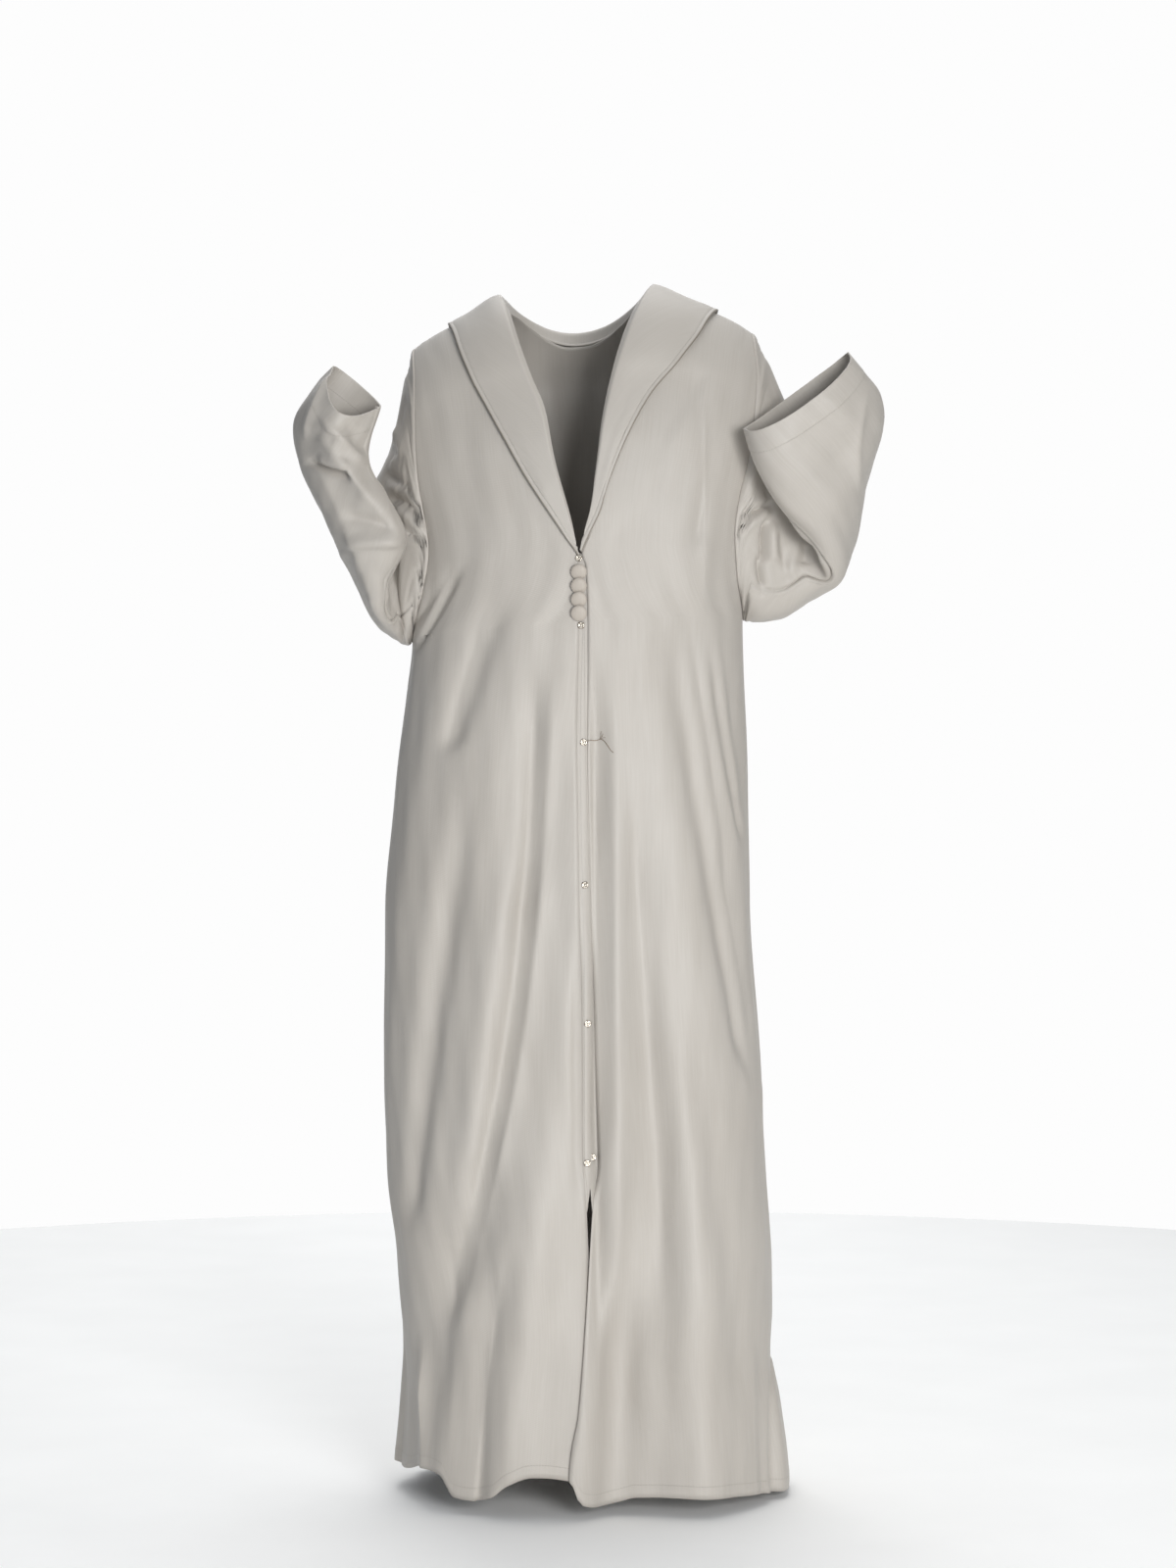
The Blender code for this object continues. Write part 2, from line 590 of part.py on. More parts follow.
def sleeve(name, grid, cloth, flip):
    """A tube of cloth through the sleeve's rows of points."""
    tube = bmesh.new()
    count = len(grid[0])
    ring = bmesh.ops.create_circle(tube, segments=count, radius=1.0)["verts"]
    for vertex, point in zip(ring, grid[0]):
        vertex.co = point
    edges = list(tube.edges)
    for row in grid[1:]:
        made = bmesh.ops.extrude_edge_only(tube, edges=edges)["geom"]
        fresh = [g for g in made if isinstance(g, bmesh.types.BMVert)]
        edges = [g for g in made if isinstance(g, bmesh.types.BMEdge)
                 and all(v in fresh for v in g.verts)]
        before = {vertex: k for k, vertex in enumerate(ring)}
        following = [None] * count
        for vertex in fresh:
            old = next(e.other_vert(vertex) for e in vertex.link_edges
                       if e.other_vert(vertex) in before)
            following[before[old]] = vertex
        for vertex, point in zip(following, row):
            vertex.co = point
        ring = following
    bmesh.ops.recalc_face_normals(tube, faces=tube.faces)
    if flip:
        bmesh.ops.reverse_faces(tube, faces=tube.faces)
    return thicken(finish(tube, name, cloth), WALL, 1.0)


def turned(name, profile, segments, finish_material):
    """A round piece about its own Z axis from an (r, z) profile that ends on it."""
    shape = bmesh.new()
    verts = [shape.verts.new((r, 0.0, z)) for r, z in profile]
    for first, second in zip(verts, verts[1:]):
        shape.edges.new((first, second))
    bmesh.ops.spin(shape, geom=list(shape.verts) + list(shape.edges), cent=(0, 0, 0),
                   axis=(0, 0, 1), dvec=(0, 0, 0), angle=2 * pi, steps=segments, use_merge=True)
    bmesh.ops.remove_doubles(shape, verts=shape.verts, dist=0.00001)
    bmesh.ops.recalc_face_normals(shape, faces=shape.faces)
    return finish(shape, name, finish_material)


def button_profile():
    rim = [(0.0, 0.0), (BUTTON_BACK_R, 0.0), (BUTTON_R, BUTTON_EDGE / 2)]
    dome = [(BUTTON_R * cos(radians(a)), BUTTON_EDGE + BUTTON_DOME * sin(radians(a)))
            for a in DOME_ANGLES]
    return rim + dome + [(0.0, BUTTON_EDGE + BUTTON_DOME)]


def snap_profile():
    return [(0.0, 0.0), (SNAP_R, 0.0), (SNAP_R, SNAP_SIDE), (SNAP_CROWN_R, SNAP_CROWN),
            (SNAP_BORE_R, SNAP_LIP), (SNAP_FLOOR_R, SNAP_FLOOR), (0.0, SNAP_FLOOR)]


def seat_on_front(item, x, drop, lift, tilt=0.0):
    """Stand a turned piece's back on the front of the cloak, its top edge tilted out."""
    angle, over = angle_at(x, drop), over_from_drop(drop)
    point = body_point(angle, over, lift)
    turn_step = SEAT_STEP / SHOULDER_HALF
    across = body_point(angle + turn_step, over) - body_point(angle - turn_step, over)
    down = body_point(angle, over + SEAT_STEP) - body_point(angle, over - SEAT_STEP)
    facing = down.cross(across).normalized()
    turn = facing.to_track_quat("Z", "Y").to_matrix().to_4x4()
    lean = Matrix.Rotation(radians(tilt), 4, "X")
    item.matrix_world = Matrix.Translation(point) @ turn @ lean


def build():
    for item in list(bpy.data.objects):
        bpy.data.objects.remove(item, do_unlink=True)
    satin = material("satin cloth", (0.62, 0.57, 0.49), 0.45)
    covered = material("covered button", (0.60, 0.54, 0.46), 0.55)
    steel = material("nickelled brass", (0.75, 0.73, 0.70), 0.30, 1.0)

    side_share = SEAM_STRIP / SHOULDER_HALF
    across_front = strips(FRONT_COLUMNS, EDGE_SHARE, side_share)
    for side, flip in (("right", True), ("left", False)):
        panel("front_" + side, across_front, HEM_ROW,
              lambda u, row, side=side: front_point(side, u, row), satin, WALL, False, flip)
    panel("back", strips(BACK_COLUMNS, side_share / 2, side_share / 2), HEM_ROW, back_point,
          satin, WALL, False, True)
    panel("placket", strips(PLACKET_COLUMNS, 0.0, 0.0), PLACKET_LAST - PLACKET_FIRST, placket_point,
          satin, WALL, False, False)
    along_collar = strips(COLLAR_STEPS * (len(COLLAR) - 1), 0.0, 0.0)
    panel("collar", along_collar, len(COLLAR_ACROSS) - 1,
          lambda u, row: collar_point(u, COLLAR_ACROSS[row]), satin, COLLAR_WALL, True, False)
    sleeve("sleeve_left", sleeve_grid("left", SLEEVE_LEFT), satin, False)
    sleeve("sleeve_right", sleeve_grid("right", SLEEVE_RIGHT), satin, False)

    for number in range(BUTTON_COUNT):
        button = turned(f"button_{number + 1}", button_profile(), BUTTON_SIDES, covered)
        rim = BUTTON_R * sin(radians(BUTTON_TILT))
        seat_on_front(button, BUTTON_X, BUTTON_TOP + number * BUTTON_PITCH,
                      CLEAR + rim, BUTTON_TILT)
    for snap in SNAPS:
        ring = turned(snap.name, snap_profile(), SNAP_SIDES, steel)
        seat_on_front(ring, snap.x, snap.drop, snap.lift + CLEAR)


build()
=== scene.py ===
# %% [markdown]
# # An abaya cloak, dressed
#
# The frame holds the cloak's solids: two fronts, a back, a button stand, a shawl collar,
# two sleeves, four covered buttons and seven halves of ring snaps. This lesson makes the
# cloth that shows around that frame. Each piece is a thin shell on the same surface as its
# solid, with more points, so that it can carry the folds, hems and seams of real cloth.

from collections import namedtuple
from math import atan, pi, radians

import bmesh
import bpy
import numpy as np
from mathutils import Matrix, Vector


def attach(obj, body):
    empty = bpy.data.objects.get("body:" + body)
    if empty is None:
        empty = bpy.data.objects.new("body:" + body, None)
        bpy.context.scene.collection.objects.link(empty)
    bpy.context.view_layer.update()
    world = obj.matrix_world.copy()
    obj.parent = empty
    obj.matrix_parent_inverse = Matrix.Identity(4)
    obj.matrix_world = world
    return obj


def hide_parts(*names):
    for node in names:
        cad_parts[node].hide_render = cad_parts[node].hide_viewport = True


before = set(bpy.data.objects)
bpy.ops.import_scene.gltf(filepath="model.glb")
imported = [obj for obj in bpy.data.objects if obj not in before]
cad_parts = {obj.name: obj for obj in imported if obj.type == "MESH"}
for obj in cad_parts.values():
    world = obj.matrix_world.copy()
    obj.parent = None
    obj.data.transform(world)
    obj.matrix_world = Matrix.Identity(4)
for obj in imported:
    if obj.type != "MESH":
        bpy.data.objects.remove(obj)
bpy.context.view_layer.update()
print("nodes in the frame:", ", ".join(sorted(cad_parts)))

# %% [markdown]
# ## Colours and nodes
#
# Colours are written as sRGB hex values, as a paint chart gives them, and one function
# turns them into the linear values that a shader works with. One more function adds a
# node with its settings and its links, and short ones name the nodes that are used most,
# so that a material below reads as a list.

# %% Colour and node helpers
def linear(code):
    """A hex colour such as #c9beb0 as linear RGBA."""
    shares = [int(code[i:i + 2], 16) / 255 for i in (1, 3, 5)]
    return [s / 12.92 if s <= 0.04045 else ((s + 0.055) / 1.055) ** 2.4 for s in shares] + [1.0]


def add(tree, kind, settings=None):
    """Adds a shader node. A value is a property's, or a socket's: a number, a hex colour or a link."""
    made = tree.nodes.new("ShaderNode" + kind)
    sockets = dict(settings or {})
    for name in [n for n in sockets if isinstance(n, str) and hasattr(made, n)]:
        setattr(made, name, sockets.pop(name))
    for name, value in sockets.items():
        if isinstance(value, bpy.types.NodeSocket):
            tree.links.new(value, made.inputs[name])
        else:
            made.inputs[name].default_value = linear(value) if isinstance(value, str) else value
    return made


def maths(tree, operation, *values):
    return add(tree, "Math", {"operation": operation, **dict(enumerate(values))}).outputs[0]


def between(tree, value, low, high, to_low=0.0, to_high=1.0):
    """Maps the range from low to high onto another one, held at both ends."""
    return add(tree, "MapRange", {"Value": value, "From Min": low, "From Max": high,
                                  "To Min": to_low, "To Max": to_high}).outputs[0]


def blend(tree, share, first, second):
    """The first colour where the share is 0, and the second where it is 1."""
    return add(tree, "Mix", {"data_type": "RGBA", 0: share, 6: first, 7: second}).outputs[2]


def noise(tree, place, scale, detail, roughness=0.5):
    return add(tree, "TexNoise", {"Vector": place, "Scale": scale, "Detail": detail,
                                  "Roughness": roughness}).outputs["Fac"]


def bump(tree, height, strength, distance, **more):
    return add(tree, "Bump", {"Height": height, "Strength": strength, "Distance": distance,
                              **more}).outputs[0]


def new_material(name):
    """A material with an empty tree but for its output."""
    made = bpy.data.materials.new(name)
    made.use_nodes = True
    made.node_tree.nodes.clear()
    return made, made.node_tree


def show(tree, settings):
    """Ends a material in one shader with these settings."""
    add(tree, "OutputMaterial", {"Surface": add(tree, "BsdfPrincipled", settings).outputs[0]})


print("a warm beige as linear light:", [round(c, 3) for c in linear("#c9beb0")])

# %% [markdown]
# ## Camera, floor and light
#
# A whole garment is looked at from a few metres away, level with its middle, so that
# neither the shoulders nor the hem are seen from above. The floor is a pale disc. Large
# soft lamps stand in front, as a studio has them, and the pale room fills the shadows.
# A small lamp would draw hard shadows on the folds, which satin does not forgive.

# %% Camera, floor and light
CAMERA_DISTANCE = 3.7
CAMERA_X = 0.0091
CAMERA_Z = -0.5415
HALF_VIEW = 0.912         # half the height that the camera sees at the cloak's middle
FLOOR_Z = -1.360
FLOOR_RADIUS = 2.4

scene = bpy.context.scene
scene.view_settings.view_transform = "Standard"


def put(name, data):
    """An object in the scene that shows a mesh, a lamp or a camera."""
    made = bpy.data.objects.new(name, data)
    scene.collection.objects.link(made)
    return made


def finished(name, shape):
    """Turns an edited shape into a smooth piece of the scene."""
    mesh = bpy.data.meshes.new(name)
    shape.to_mesh(mesh)
    shape.free()
    mesh.shade_smooth()
    return put(name, mesh)


camera_data = bpy.data.cameras.new("camera")
camera_data.sensor_fit = "VERTICAL"
camera_data.angle = 2.0 * atan(HALF_VIEW / CAMERA_DISTANCE)
camera = put("camera", camera_data)
camera.location = (CAMERA_X, -CAMERA_DISTANCE, CAMERA_Z)
camera.rotation_euler = (pi / 2, 0.0, 0.0)
scene.camera = camera

ROOM_LEFT = "#656d77"
ROOM_RIGHT = "#8d8f90"
BACK_WALL = "#fdfdfd"
Lamp = namedtuple("Lamp", "name x y z size watts")
LAMPS = [
    Lamp("key", 1.05, -3.4, -0.4, 1.2, 95.0),
    Lamp("fill", -0.8, -3.4, -0.7, 1.6, 12.0),
    Lamp("top", 0.0, 1.1, 2.6, 2.4, 60.0),
    Lamp("behind", -0.4, 3.2, 0.8, 2.4, 30.0),
]
for lamp in LAMPS:
    light = bpy.data.lights.new(lamp.name, "AREA")
    light.size = lamp.size
    light.energy = lamp.watts
    stand = put(lamp.name, light)
    stand.location = (lamp.x, lamp.y, lamp.z)
    aim = Vector((0.0, 0.0, CAMERA_Z)) - stand.location
    stand.rotation_euler = aim.to_track_quat("-Z", "Y").to_euler()

# The room is grey and darker on one side, with a white ceiling and a white wall behind.
world = bpy.data.worlds.new("grey room with a white back wall")
world.use_nodes = True
room = world.node_tree
room.nodes.clear()
ahead = add(room, "TexCoord").outputs["Generated"]
ahead = add(room, "SeparateXYZ", {"Vector": ahead}).outputs
wall = between(room, ahead["Y"], 0.78, 0.94)
ceiling = between(room, ahead["Z"], 0.60, 1.20)
white = maths(room, "MAXIMUM", wall, ceiling)
sides = blend(room, between(room, ahead["X"], -0.8, 0.7), ROOM_LEFT, ROOM_RIGHT)
air = add(room, "Background", {"Strength": 1.0, "Color": blend(room, white, sides, BACK_WALL)})
add(room, "OutputWorld", {"Surface": air.outputs[0]})
scene.world = world
print("camera", tuple(camera.location), "lamps", len(LAMPS))

# %% Floor
floor_paint, tree = new_material("matt studio floor paint")
grain = noise(tree, add(tree, "TexCoord").outputs["Object"], 6.0, 3.0)
show(tree, {"Roughness": 0.85, "Base Color": blend(tree, grain, "#f4f4f3", "#fafaf9")})

disc = bmesh.new()
bmesh.ops.create_circle(disc, cap_ends=True, segments=96, radius=FLOOR_RADIUS)
bmesh.ops.translate(disc, verts=disc.verts, vec=(0.0, 0.0, FLOOR_Z))
floor = finished("floor", disc)
floor.data.materials.append(floor_paint)
print("floor at", FLOOR_Z)

# %% [markdown]
# ## The surface that the cloth lies on
#
# A cloak has no body of its own: its shoulders round over the wearer's, and below them it
# hangs. So one surface is described by sections, half widths and depths at each drop below
# the shoulder line, and every panel is a patch of it. The alternative is to sculpt each
# panel, but then neighbouring edges would have to be matched by hand. Here two panels that
# ask the surface about the same line get the same line.
#
# Single sizes are in metres. A table's rows are in millimetres, as a maker notes them, and
# one function turns them into metres.

# %% Tables of the cloak's form
def table(kind, *rows):
    """Records in metres from rows in millimetres. What follows seven lengths stays as it is."""
    return [kind(*(np.array(value) / 1000 for value in row[:7]), *row[7:]) for row in rows]


COLLAR_WALL = 0.0018      # doubled cloth of the collar
LENGTH = 1.350            # drop from the shoulder line to the hem
SEAM = 0.0003             # gap between two shells at a seam, on their outer faces
CAP = 0.085               # drop over which the cloth rounds over the shoulder
SHOULDER_TOP = 0.015
SHOULDER_TILT = 0.060     # the left shoulder is held a little higher
SHOULDER_DROP = 0.045
SHOULDER_HALF = 0.200
SHOULDER_CURVE = 3.5
TILT_START = 0.45         # the tilt fades out between these drops
TILT_END = 0.90
SQUARE = 2.3              # squareness of the body's sections; 2 is an ellipse
ARMHOLE_DEPTH = 0.360
NECK_BACK = 0.082
NECK_ROUND = 2.4

Section = namedtuple("Section", "drop right left front back")
SECTIONS = table(Section,
    (0, 240, 245, 88, 88),
    (85, 232, 240, 100, 103),
    (170, 215, 222, 122, 110),
    (250, 197, 202, 130, 108),
    (360, 194, 188, 131, 104),
    (420, 201, 190, 131, 104),
    (540, 215, 195, 132, 112),
    (680, 226, 197, 137, 124),
    (880, 228, 211, 146, 136),
    (990, 223, 214, 150, 141),
    (1090, 212, 222, 153, 146),
    (1190, 206, 222, 157, 151),
    (1260, 210, 233, 161, 157),
    (1350, 217, 243, 166, 164),
)
Armhole = namedtuple("Armhole", "drop right left")
ARMHOLE = table(Armhole,
    (0, 193, 200),
    (50, 190, 203),
    (120, 189, 199),
    (170, 186, 193),
    (220, 178, 182),
    (260, 173, 177),
    (310, 181, 180),
    (360, 194, 188),
)
Edge = namedtuple("Edge", "drop right left")
FRONT_EDGES = table(Edge,
    (0, -86, 75),
    (51, -69, 48),
    (90, -54, 38),
    (126, -40, 29),
    (183, -28, 20),
    (263, -6.4, 11.2),
    (286, -3, 2.2),
    (300, -1, 6.6),
    (366, -1, 9),
    (495, -3.1, 9.5),
    (655, -1, 15),
    (810, 2.2, 21),
    (965, 3, 22.5),
    (1020, 8, 16.5),
    (1092, 11, 11.2),
    (1253, 13, -1),
    (1350, 15, -11.5),
)
LAP_START = 1.000         # below this the left front comes to lie on the right one
LAP_FULL = 1.110
LAP_LIFT = 0.0026
LAP_FLAT = 0.018
LAP_REACH = 0.060
Hem = namedtuple("Hem", "x drop")
FRONT_HEM = table(Hem,
    (-216, 1327),
    (-188, 1314),
    (-160, 1318),
    (-141, 1341),
    (-120, 1343),
    (-96, 1336),
    (-79, 1322),
    (-52, 1312),
    (-11, 1316),
    (2, 1342),
    (28, 1347),
    (65, 1338),
    (115, 1338),
    (205, 1345),
    (243, 1352),
)
BACK_HEM = table(Hem,
    (-217, 1327),
    (-170, 1342),
    (0, 1350),
    (243, 1352),
)

# %% [markdown]
# ## Folds
#
# A fold in hanging cloth is a long line along which the cloth stands out or sinks in. Each
# is one row of a table, with its two ends, how far it bows, how wide and how deep it is.
# The deep ones are the same as in the solids. They could come from a cloth simulation, but
# a table can be matched to a real garment, fold by fold.

# %% Main folds, by drop
Fold = namedtuple("Fold", "x0 drop0 x1 drop1 bow width depth")
FRONT_FOLDS = table(Fold,
    (-43, 400, -144, 1150, 31, 22, -11),
    (-84, 310, -150, 500, 0, 18, -7),
    (-121, 520, -196, 1060, -6, 20, -9),
    (-132, 280, -190, 380, 0, 12, -6),
    (-75, 600, -115, 1000, -10, 26, 7),
    (-38, 880, -82, 1400, 0, 28, 13),
    (-77, 1040, -118, 1400, -8, 13, -10),
    (-186, 1160, -182, 1420, 0, 18, 9),
    (16, 360, 24, 980, 12, 12, -5),
    (99, 330, 196, 890, -4, 18, -10),
    (145, 370, 188, 620, 0, 12, -6),
    (65, 550, 88, 1420, 2, 34, -10),
    (112, 800, 146, 1420, 0, 26, 8),
    (59, 1070, 30, 1420, 0, 14, -10),
    (4, 1100, -1, 1420, 0, 20, 7),
    (222, 1150, 228, 1420, 0, 12, -10),
    (128, 60, 129, 290, 14, 14, -5),
)
BACK_FOLDS = table(Fold,
    (-110, 300, -150, 1420, 10, 26, -14),
    (-45, 360, -62, 1420, -8, 24, -12),
    (15, 300, 12, 1420, 6, 22, -13),
    (70, 420, 88, 1420, 0, 26, -11),
    (122, 300, 166, 1420, -8, 24, -14),
    (-100, 700, -108, 1420, 0, 24, 11),
    (45, 750, 50, 1420, 0, 22, 10),
    (-20, 800, -24, 1420, 0, 20, 10),
    (-196, 600, -204, 1420, 0, 18, -8),
    (198, 700, 214, 1420, 0, 18, -8),
)
FOLD_GIRTH = 0.190        # turns a section's angle into a distance round it
FOLD_RISE = 0.32          # part of its length over which a fold comes, and goes
FOLD_FADE = 0.12
print("main folds:", len(FRONT_FOLDS), "in front,", len(BACK_FOLDS), "behind")

# %% [markdown]
# ## Reading the surface
#
# The helpers below work on whole numpy arrays, a value for every point of a panel at once.
# Loops over single points would give the same cloth and take minutes.

# %% Surface functions
def smooth(low, high, value):
    t = np.clip((value - low) / (high - low), 0.0, 1.0)
    return t * t * (3.0 - 2.0 * t)


def unit(vectors):
    return vectors / np.maximum(np.linalg.norm(vectors, axis=-1, keepdims=True), 1e-12)


def read(rows, key, name, value):
    """A column's value between a table's rows, on a smooth curve without overshoot."""
    keys = np.array([getattr(row, key) for row in rows])
    values = np.array([getattr(row, name) for row in rows])
    slopes = np.diff(values) / np.diff(keys)
    tangents = np.zeros(len(keys))
    turning = slopes[:-1] * slopes[1:] <= 0.0
    total = np.where(turning, 1.0, slopes[:-1] + slopes[1:])
    tangents[1:-1] = np.where(turning, 0.0, 2.0 * slopes[:-1] * slopes[1:] / total)
    value = np.clip(value, keys[0], keys[-1])
    i = np.clip(np.searchsorted(keys, value, "right") - 1, 0, len(keys) - 2)
    step = keys[i + 1] - keys[i]
    t = (value - keys[i]) / step
    return (values[i] * (1 + 2 * t) * (1 - t) ** 2 + values[i + 1] * t * t * (3 - 2 * t)
            + step * (tangents[i] * t * (1 - t) ** 2 - tangents[i + 1] * t * t * (1 - t)))


def over_from_drop(drop):
    """The way over the shoulder's round down to a drop below the shoulder line."""
    bent = CAP * np.arccos(np.clip(1.0 - drop / CAP, -1.0, 1.0))
    return np.where(drop < CAP, bent, CAP * pi / 2 + drop - CAP)


def drop_from_over(over):
    quarter = CAP * pi / 2
    return np.where(over < quarter, CAP * (1.0 - np.cos(over / CAP)), CAP + over - quarter)


def shoulder_rise(x, drop):
    fall = SHOULDER_DROP * (np.abs(x) / SHOULDER_HALF) ** SHOULDER_CURVE
    fade = np.maximum(0.0, 1.0 - drop / ARMHOLE_DEPTH)
    tilt = SHOULDER_TILT * x * smooth(TILT_END, TILT_START, drop)
    return (SHOULDER_TOP - fall) * fade + tilt


def half_width(x, drop):
    return np.where(x >= 0.0, read(SECTIONS, "drop", "left", drop),
                    read(SECTIONS, "drop", "right", drop))


def angle_at(x, drop):
    """The section angle from the centre line (0) to the side seam (90 degrees)."""
    share = np.minimum(1.0, np.abs(x) / half_width(x, drop))
    return np.where(x >= 0.0, 1.0, -1.0) * np.arcsin(share ** (SQUARE / 2.0))


def x_at(angle, drop):
    sign = np.where(angle >= 0.0, 1.0, -1.0)
    return sign * half_width(angle, drop) * np.abs(np.sin(angle)) ** (2.0 / SQUARE)


def depth_at(over, drop):
    return np.where(over >= 0.0, read(SECTIONS, "drop", "front", drop),
                    read(SECTIONS, "drop", "back", drop))


def around(angle, front):
    """The angle round the whole body, 0 at the centre front and pi at the centre back."""
    return np.where(front, angle, np.where(angle >= 0.0, pi, -pi) - angle)


def fold_relief(angle, front, drop):
    here = around(angle, front)
    total = np.zeros(np.shape(here))
    for folds, on_front in ((FRONT_FOLDS, True), (BACK_FOLDS, False)):
        for fold in folds:
            t = (drop - fold.drop0) / (fold.drop1 - fold.drop0)
            x = fold.x0 + (fold.x1 - fold.x0) * t + fold.bow * 4.0 * t * (1.0 - t)
            turn = np.abs(here - around(angle_at(x, drop), on_front))
            away = np.minimum(turn, 2.0 * pi - turn) * FOLD_GIRTH / fold.width
            strength = smooth(0.0, FOLD_RISE, t) * smooth(1.0, 1.0 - FOLD_FADE, t)
            total += fold.depth * strength * np.exp(-away * away)
    return total


def body_point(angle, over, lift=0.0):
    """Points of the cloak's outer face, moved out by lift. over is + on the front."""
    front = over >= 0.0
    drop = drop_from_over(np.abs(over))
    depth = depth_at(over, drop)
    round_over = np.minimum(np.abs(over) / CAP, pi / 2)
    x = x_at(angle, drop)
    y = np.where(front, -1.0, 1.0) * depth * np.sin(round_over)
    y = y * np.maximum(0.0, np.cos(angle)) ** (2.0 / SQUARE)
    z = -drop + shoulder_rise(x, drop)
    out = np.stack([x / half_width(x, drop) ** 2 * np.sin(round_over),
                    y / depth ** 2 * np.sin(round_over),
                    np.cos(round_over) / depth], axis=-1)
    lift = lift + fold_relief(angle, front, drop)
    return np.stack([x, y, z], axis=-1) + unit(out) * lift[..., None]

# %% [markdown]
# ## Small creases
#
# Between the main folds, worn cloth carries smaller ones: soft troughs where the hands pull
# the shoulders up, short pinches at the elbows, and a slow unevenness everywhere. These are
# placed as seen from the front or from the back, by x and z, each with its own length,
# width and depth. A lean makes one side of a crease steeper than the other, as gravity
# does, and a round under 2 makes its top an edge, as where cloth is pulled over a corner.

# %% Creases on the body
Crease = namedtuple("Crease", "x0 z0 x1 z1 bow width depth lean round", defaults=(0.0, 2.0))
FRONT_CREASES = table(Crease,
    # the wearer's right front
    (-140, -288, -202, -362, 4, 9, -3.6, 0, 1.5),
    (-104, -335, -157, -520, -2, 12, -3.6, 0, 1.5),
    (-125, -530, -196, -995, 4, 24, -2.2, 0.2),
    (-48.6, -400, -68.5, -740, 3, 10, -6, 0, 1.5),
    (-29.6, -400, -49.5, -740, 3, 11, 5, 0, 1.5),
    (-57.4, -600, -120.4, -1020, 9.5, 11, -8, 0, 1.5),
    (-38.4, -600, -101.4, -1020, 9.5, 13, 7, 0, 1.5),
    (-91.7, -900, -160.3, -1170, 2, 14, -6, 0, 1.5),
    (-72.7, -900, -141.3, -1170, 2, 16, 5, 0, 1.5),
    (-130, -1000, -220, -1400, 0, 28, -12),
    (-78, -1010, -128, -1425, 0, 11, 6),
    (-2, -680, -1, -1050, 0, 5, -6, 0, 1.6),
    # the wearer's left front
    (138.5, -40, 138.5, -370, 0, 18, 7, -0.4, 1.4),
    (119, -330, 180, -700, 2, 12, -5.6, 0, 1.5),
    (156, -590, 214, -905, 0, 12, -4.4, 0, 1.5),
    (160, -360, 199, -605, 0, 10, -3.6, 0, 1.5),
    (16.5, -360, 21.5, -1220, 1, 8.5, -11, 0, 1.6),
    (38, -400, 44, -1180, 1, 12, 5.5, 0, 1.6),
    (50, -480, 98, -1180, 4, 18, -10.5, 0, 1.6),
    (46, -960, 42, -1440, 0, 32, -11),
    (130, -980, 136, -1440, 0, 40, 10),
    (204, -1150, 212, -1380, 0, 9, -4.4, 0.3),
)
BACK_CREASES = table(Crease,
    (-120, -260, -60, -420, 10, 18, -4, 0.3),
    (125, -250, 60, -430, -10, 18, -4, 0.3),
    (-95, -330, -118, -900, 4, 16, -4, 0.3),
    (100, -340, 132, -950, -4, 17, -4, 0.3),
    (0, -300, 14, -820, 5, 18, -3.8, 0.2),
    (-50, -600, -58, -1320, -4, 15, -4.5, 0.3),
    (74, -640, 90, -1340, 4, 16, -4, 0.3),
    (-150, -780, -160, -1330, 0, 16, -3.5, 0.3),
    (160, -820, 176, -1340, 0, 16, -3.5, 0.3),
)
CREASE_RISE = 0.30        # part of its length over which a crease comes, and goes
CREASE_FADE = 0.22


def crease_relief(points, creases):
    x, z = points[..., 0], points[..., 2]
    total = np.zeros(x.shape)
    for c in creases:
        along = np.array([c.x1 - c.x0, c.z1 - c.z0])
        length = np.hypot(*along)
        along = along / length
        t = ((x - c.x0) * along[0] + (z - c.z0) * along[1]) / length
        side = (x - c.x0) * -along[1] + (z - c.z0) * along[0]
        side = side - c.bow * 4.0 * t * (1.0 - t)
        reach = c.width * (1.0 + c.lean * np.tanh(side / c.width))
        strength = smooth(0.0, CREASE_RISE, t) * smooth(1.0, 1.0 - CREASE_FADE, t)
        total += c.depth * strength * np.exp(-(np.abs(side) / reach) ** c.round)
    return total


Wave = namedtuple("Wave", "across down phase height")
UNEVENNESS = [
    Wave(0.083, 0.47, 0.4, 0.00055),
    Wave(0.051, 0.31, 2.1, 0.00040),
    Wave(0.029, -0.23, 4.0, 0.00022),
    Wave(0.127, -0.17, 1.3, 0.00060),
]


def unevenness(cloth):
    """The slow ripple of hanging cloth, from its own coordinates in metres."""
    return sum(w.height * np.sin(2 * pi * (cloth[..., 0] / w.across + cloth[..., 1] / w.down) + w.phase)
               for w in UNEVENNESS)


print("small creases:", len(FRONT_CREASES) + len(BACK_CREASES))

# %% [markdown]
# ## Laying a grid on a surface
#
# Every cloth piece starts as a flat grid, as cloth on a cutting table does, and its points
# are then moved onto the surface. The grid keeps two UV maps in metres: one lies in the
# cloth, for its threads, and one counts from the nearest hem, for its stitches.

# %% Cloth helpers
CLOTH_WALL = 0.0012
UPRIGHT = [0.0, 0.0, 1.0]     # keeps a point's height alone, so its place on the middle line
SIGN = {"left": 1.0, "right": -1.0}


def edge_distances(points):
    """Distances in the cloth to a grid's four edges: first column, last, top and hem."""
    across = np.linalg.norm(np.diff(points, axis=1), axis=2)
    down = np.linalg.norm(np.diff(points, axis=0), axis=2)
    across = np.pad(np.cumsum(across, axis=1), ((0, 0), (1, 0)))
    down = np.pad(np.cumsum(down, axis=0), ((1, 0), (0, 0)))
    return across, across[:, -1:] - across, down, down[-1:] - down


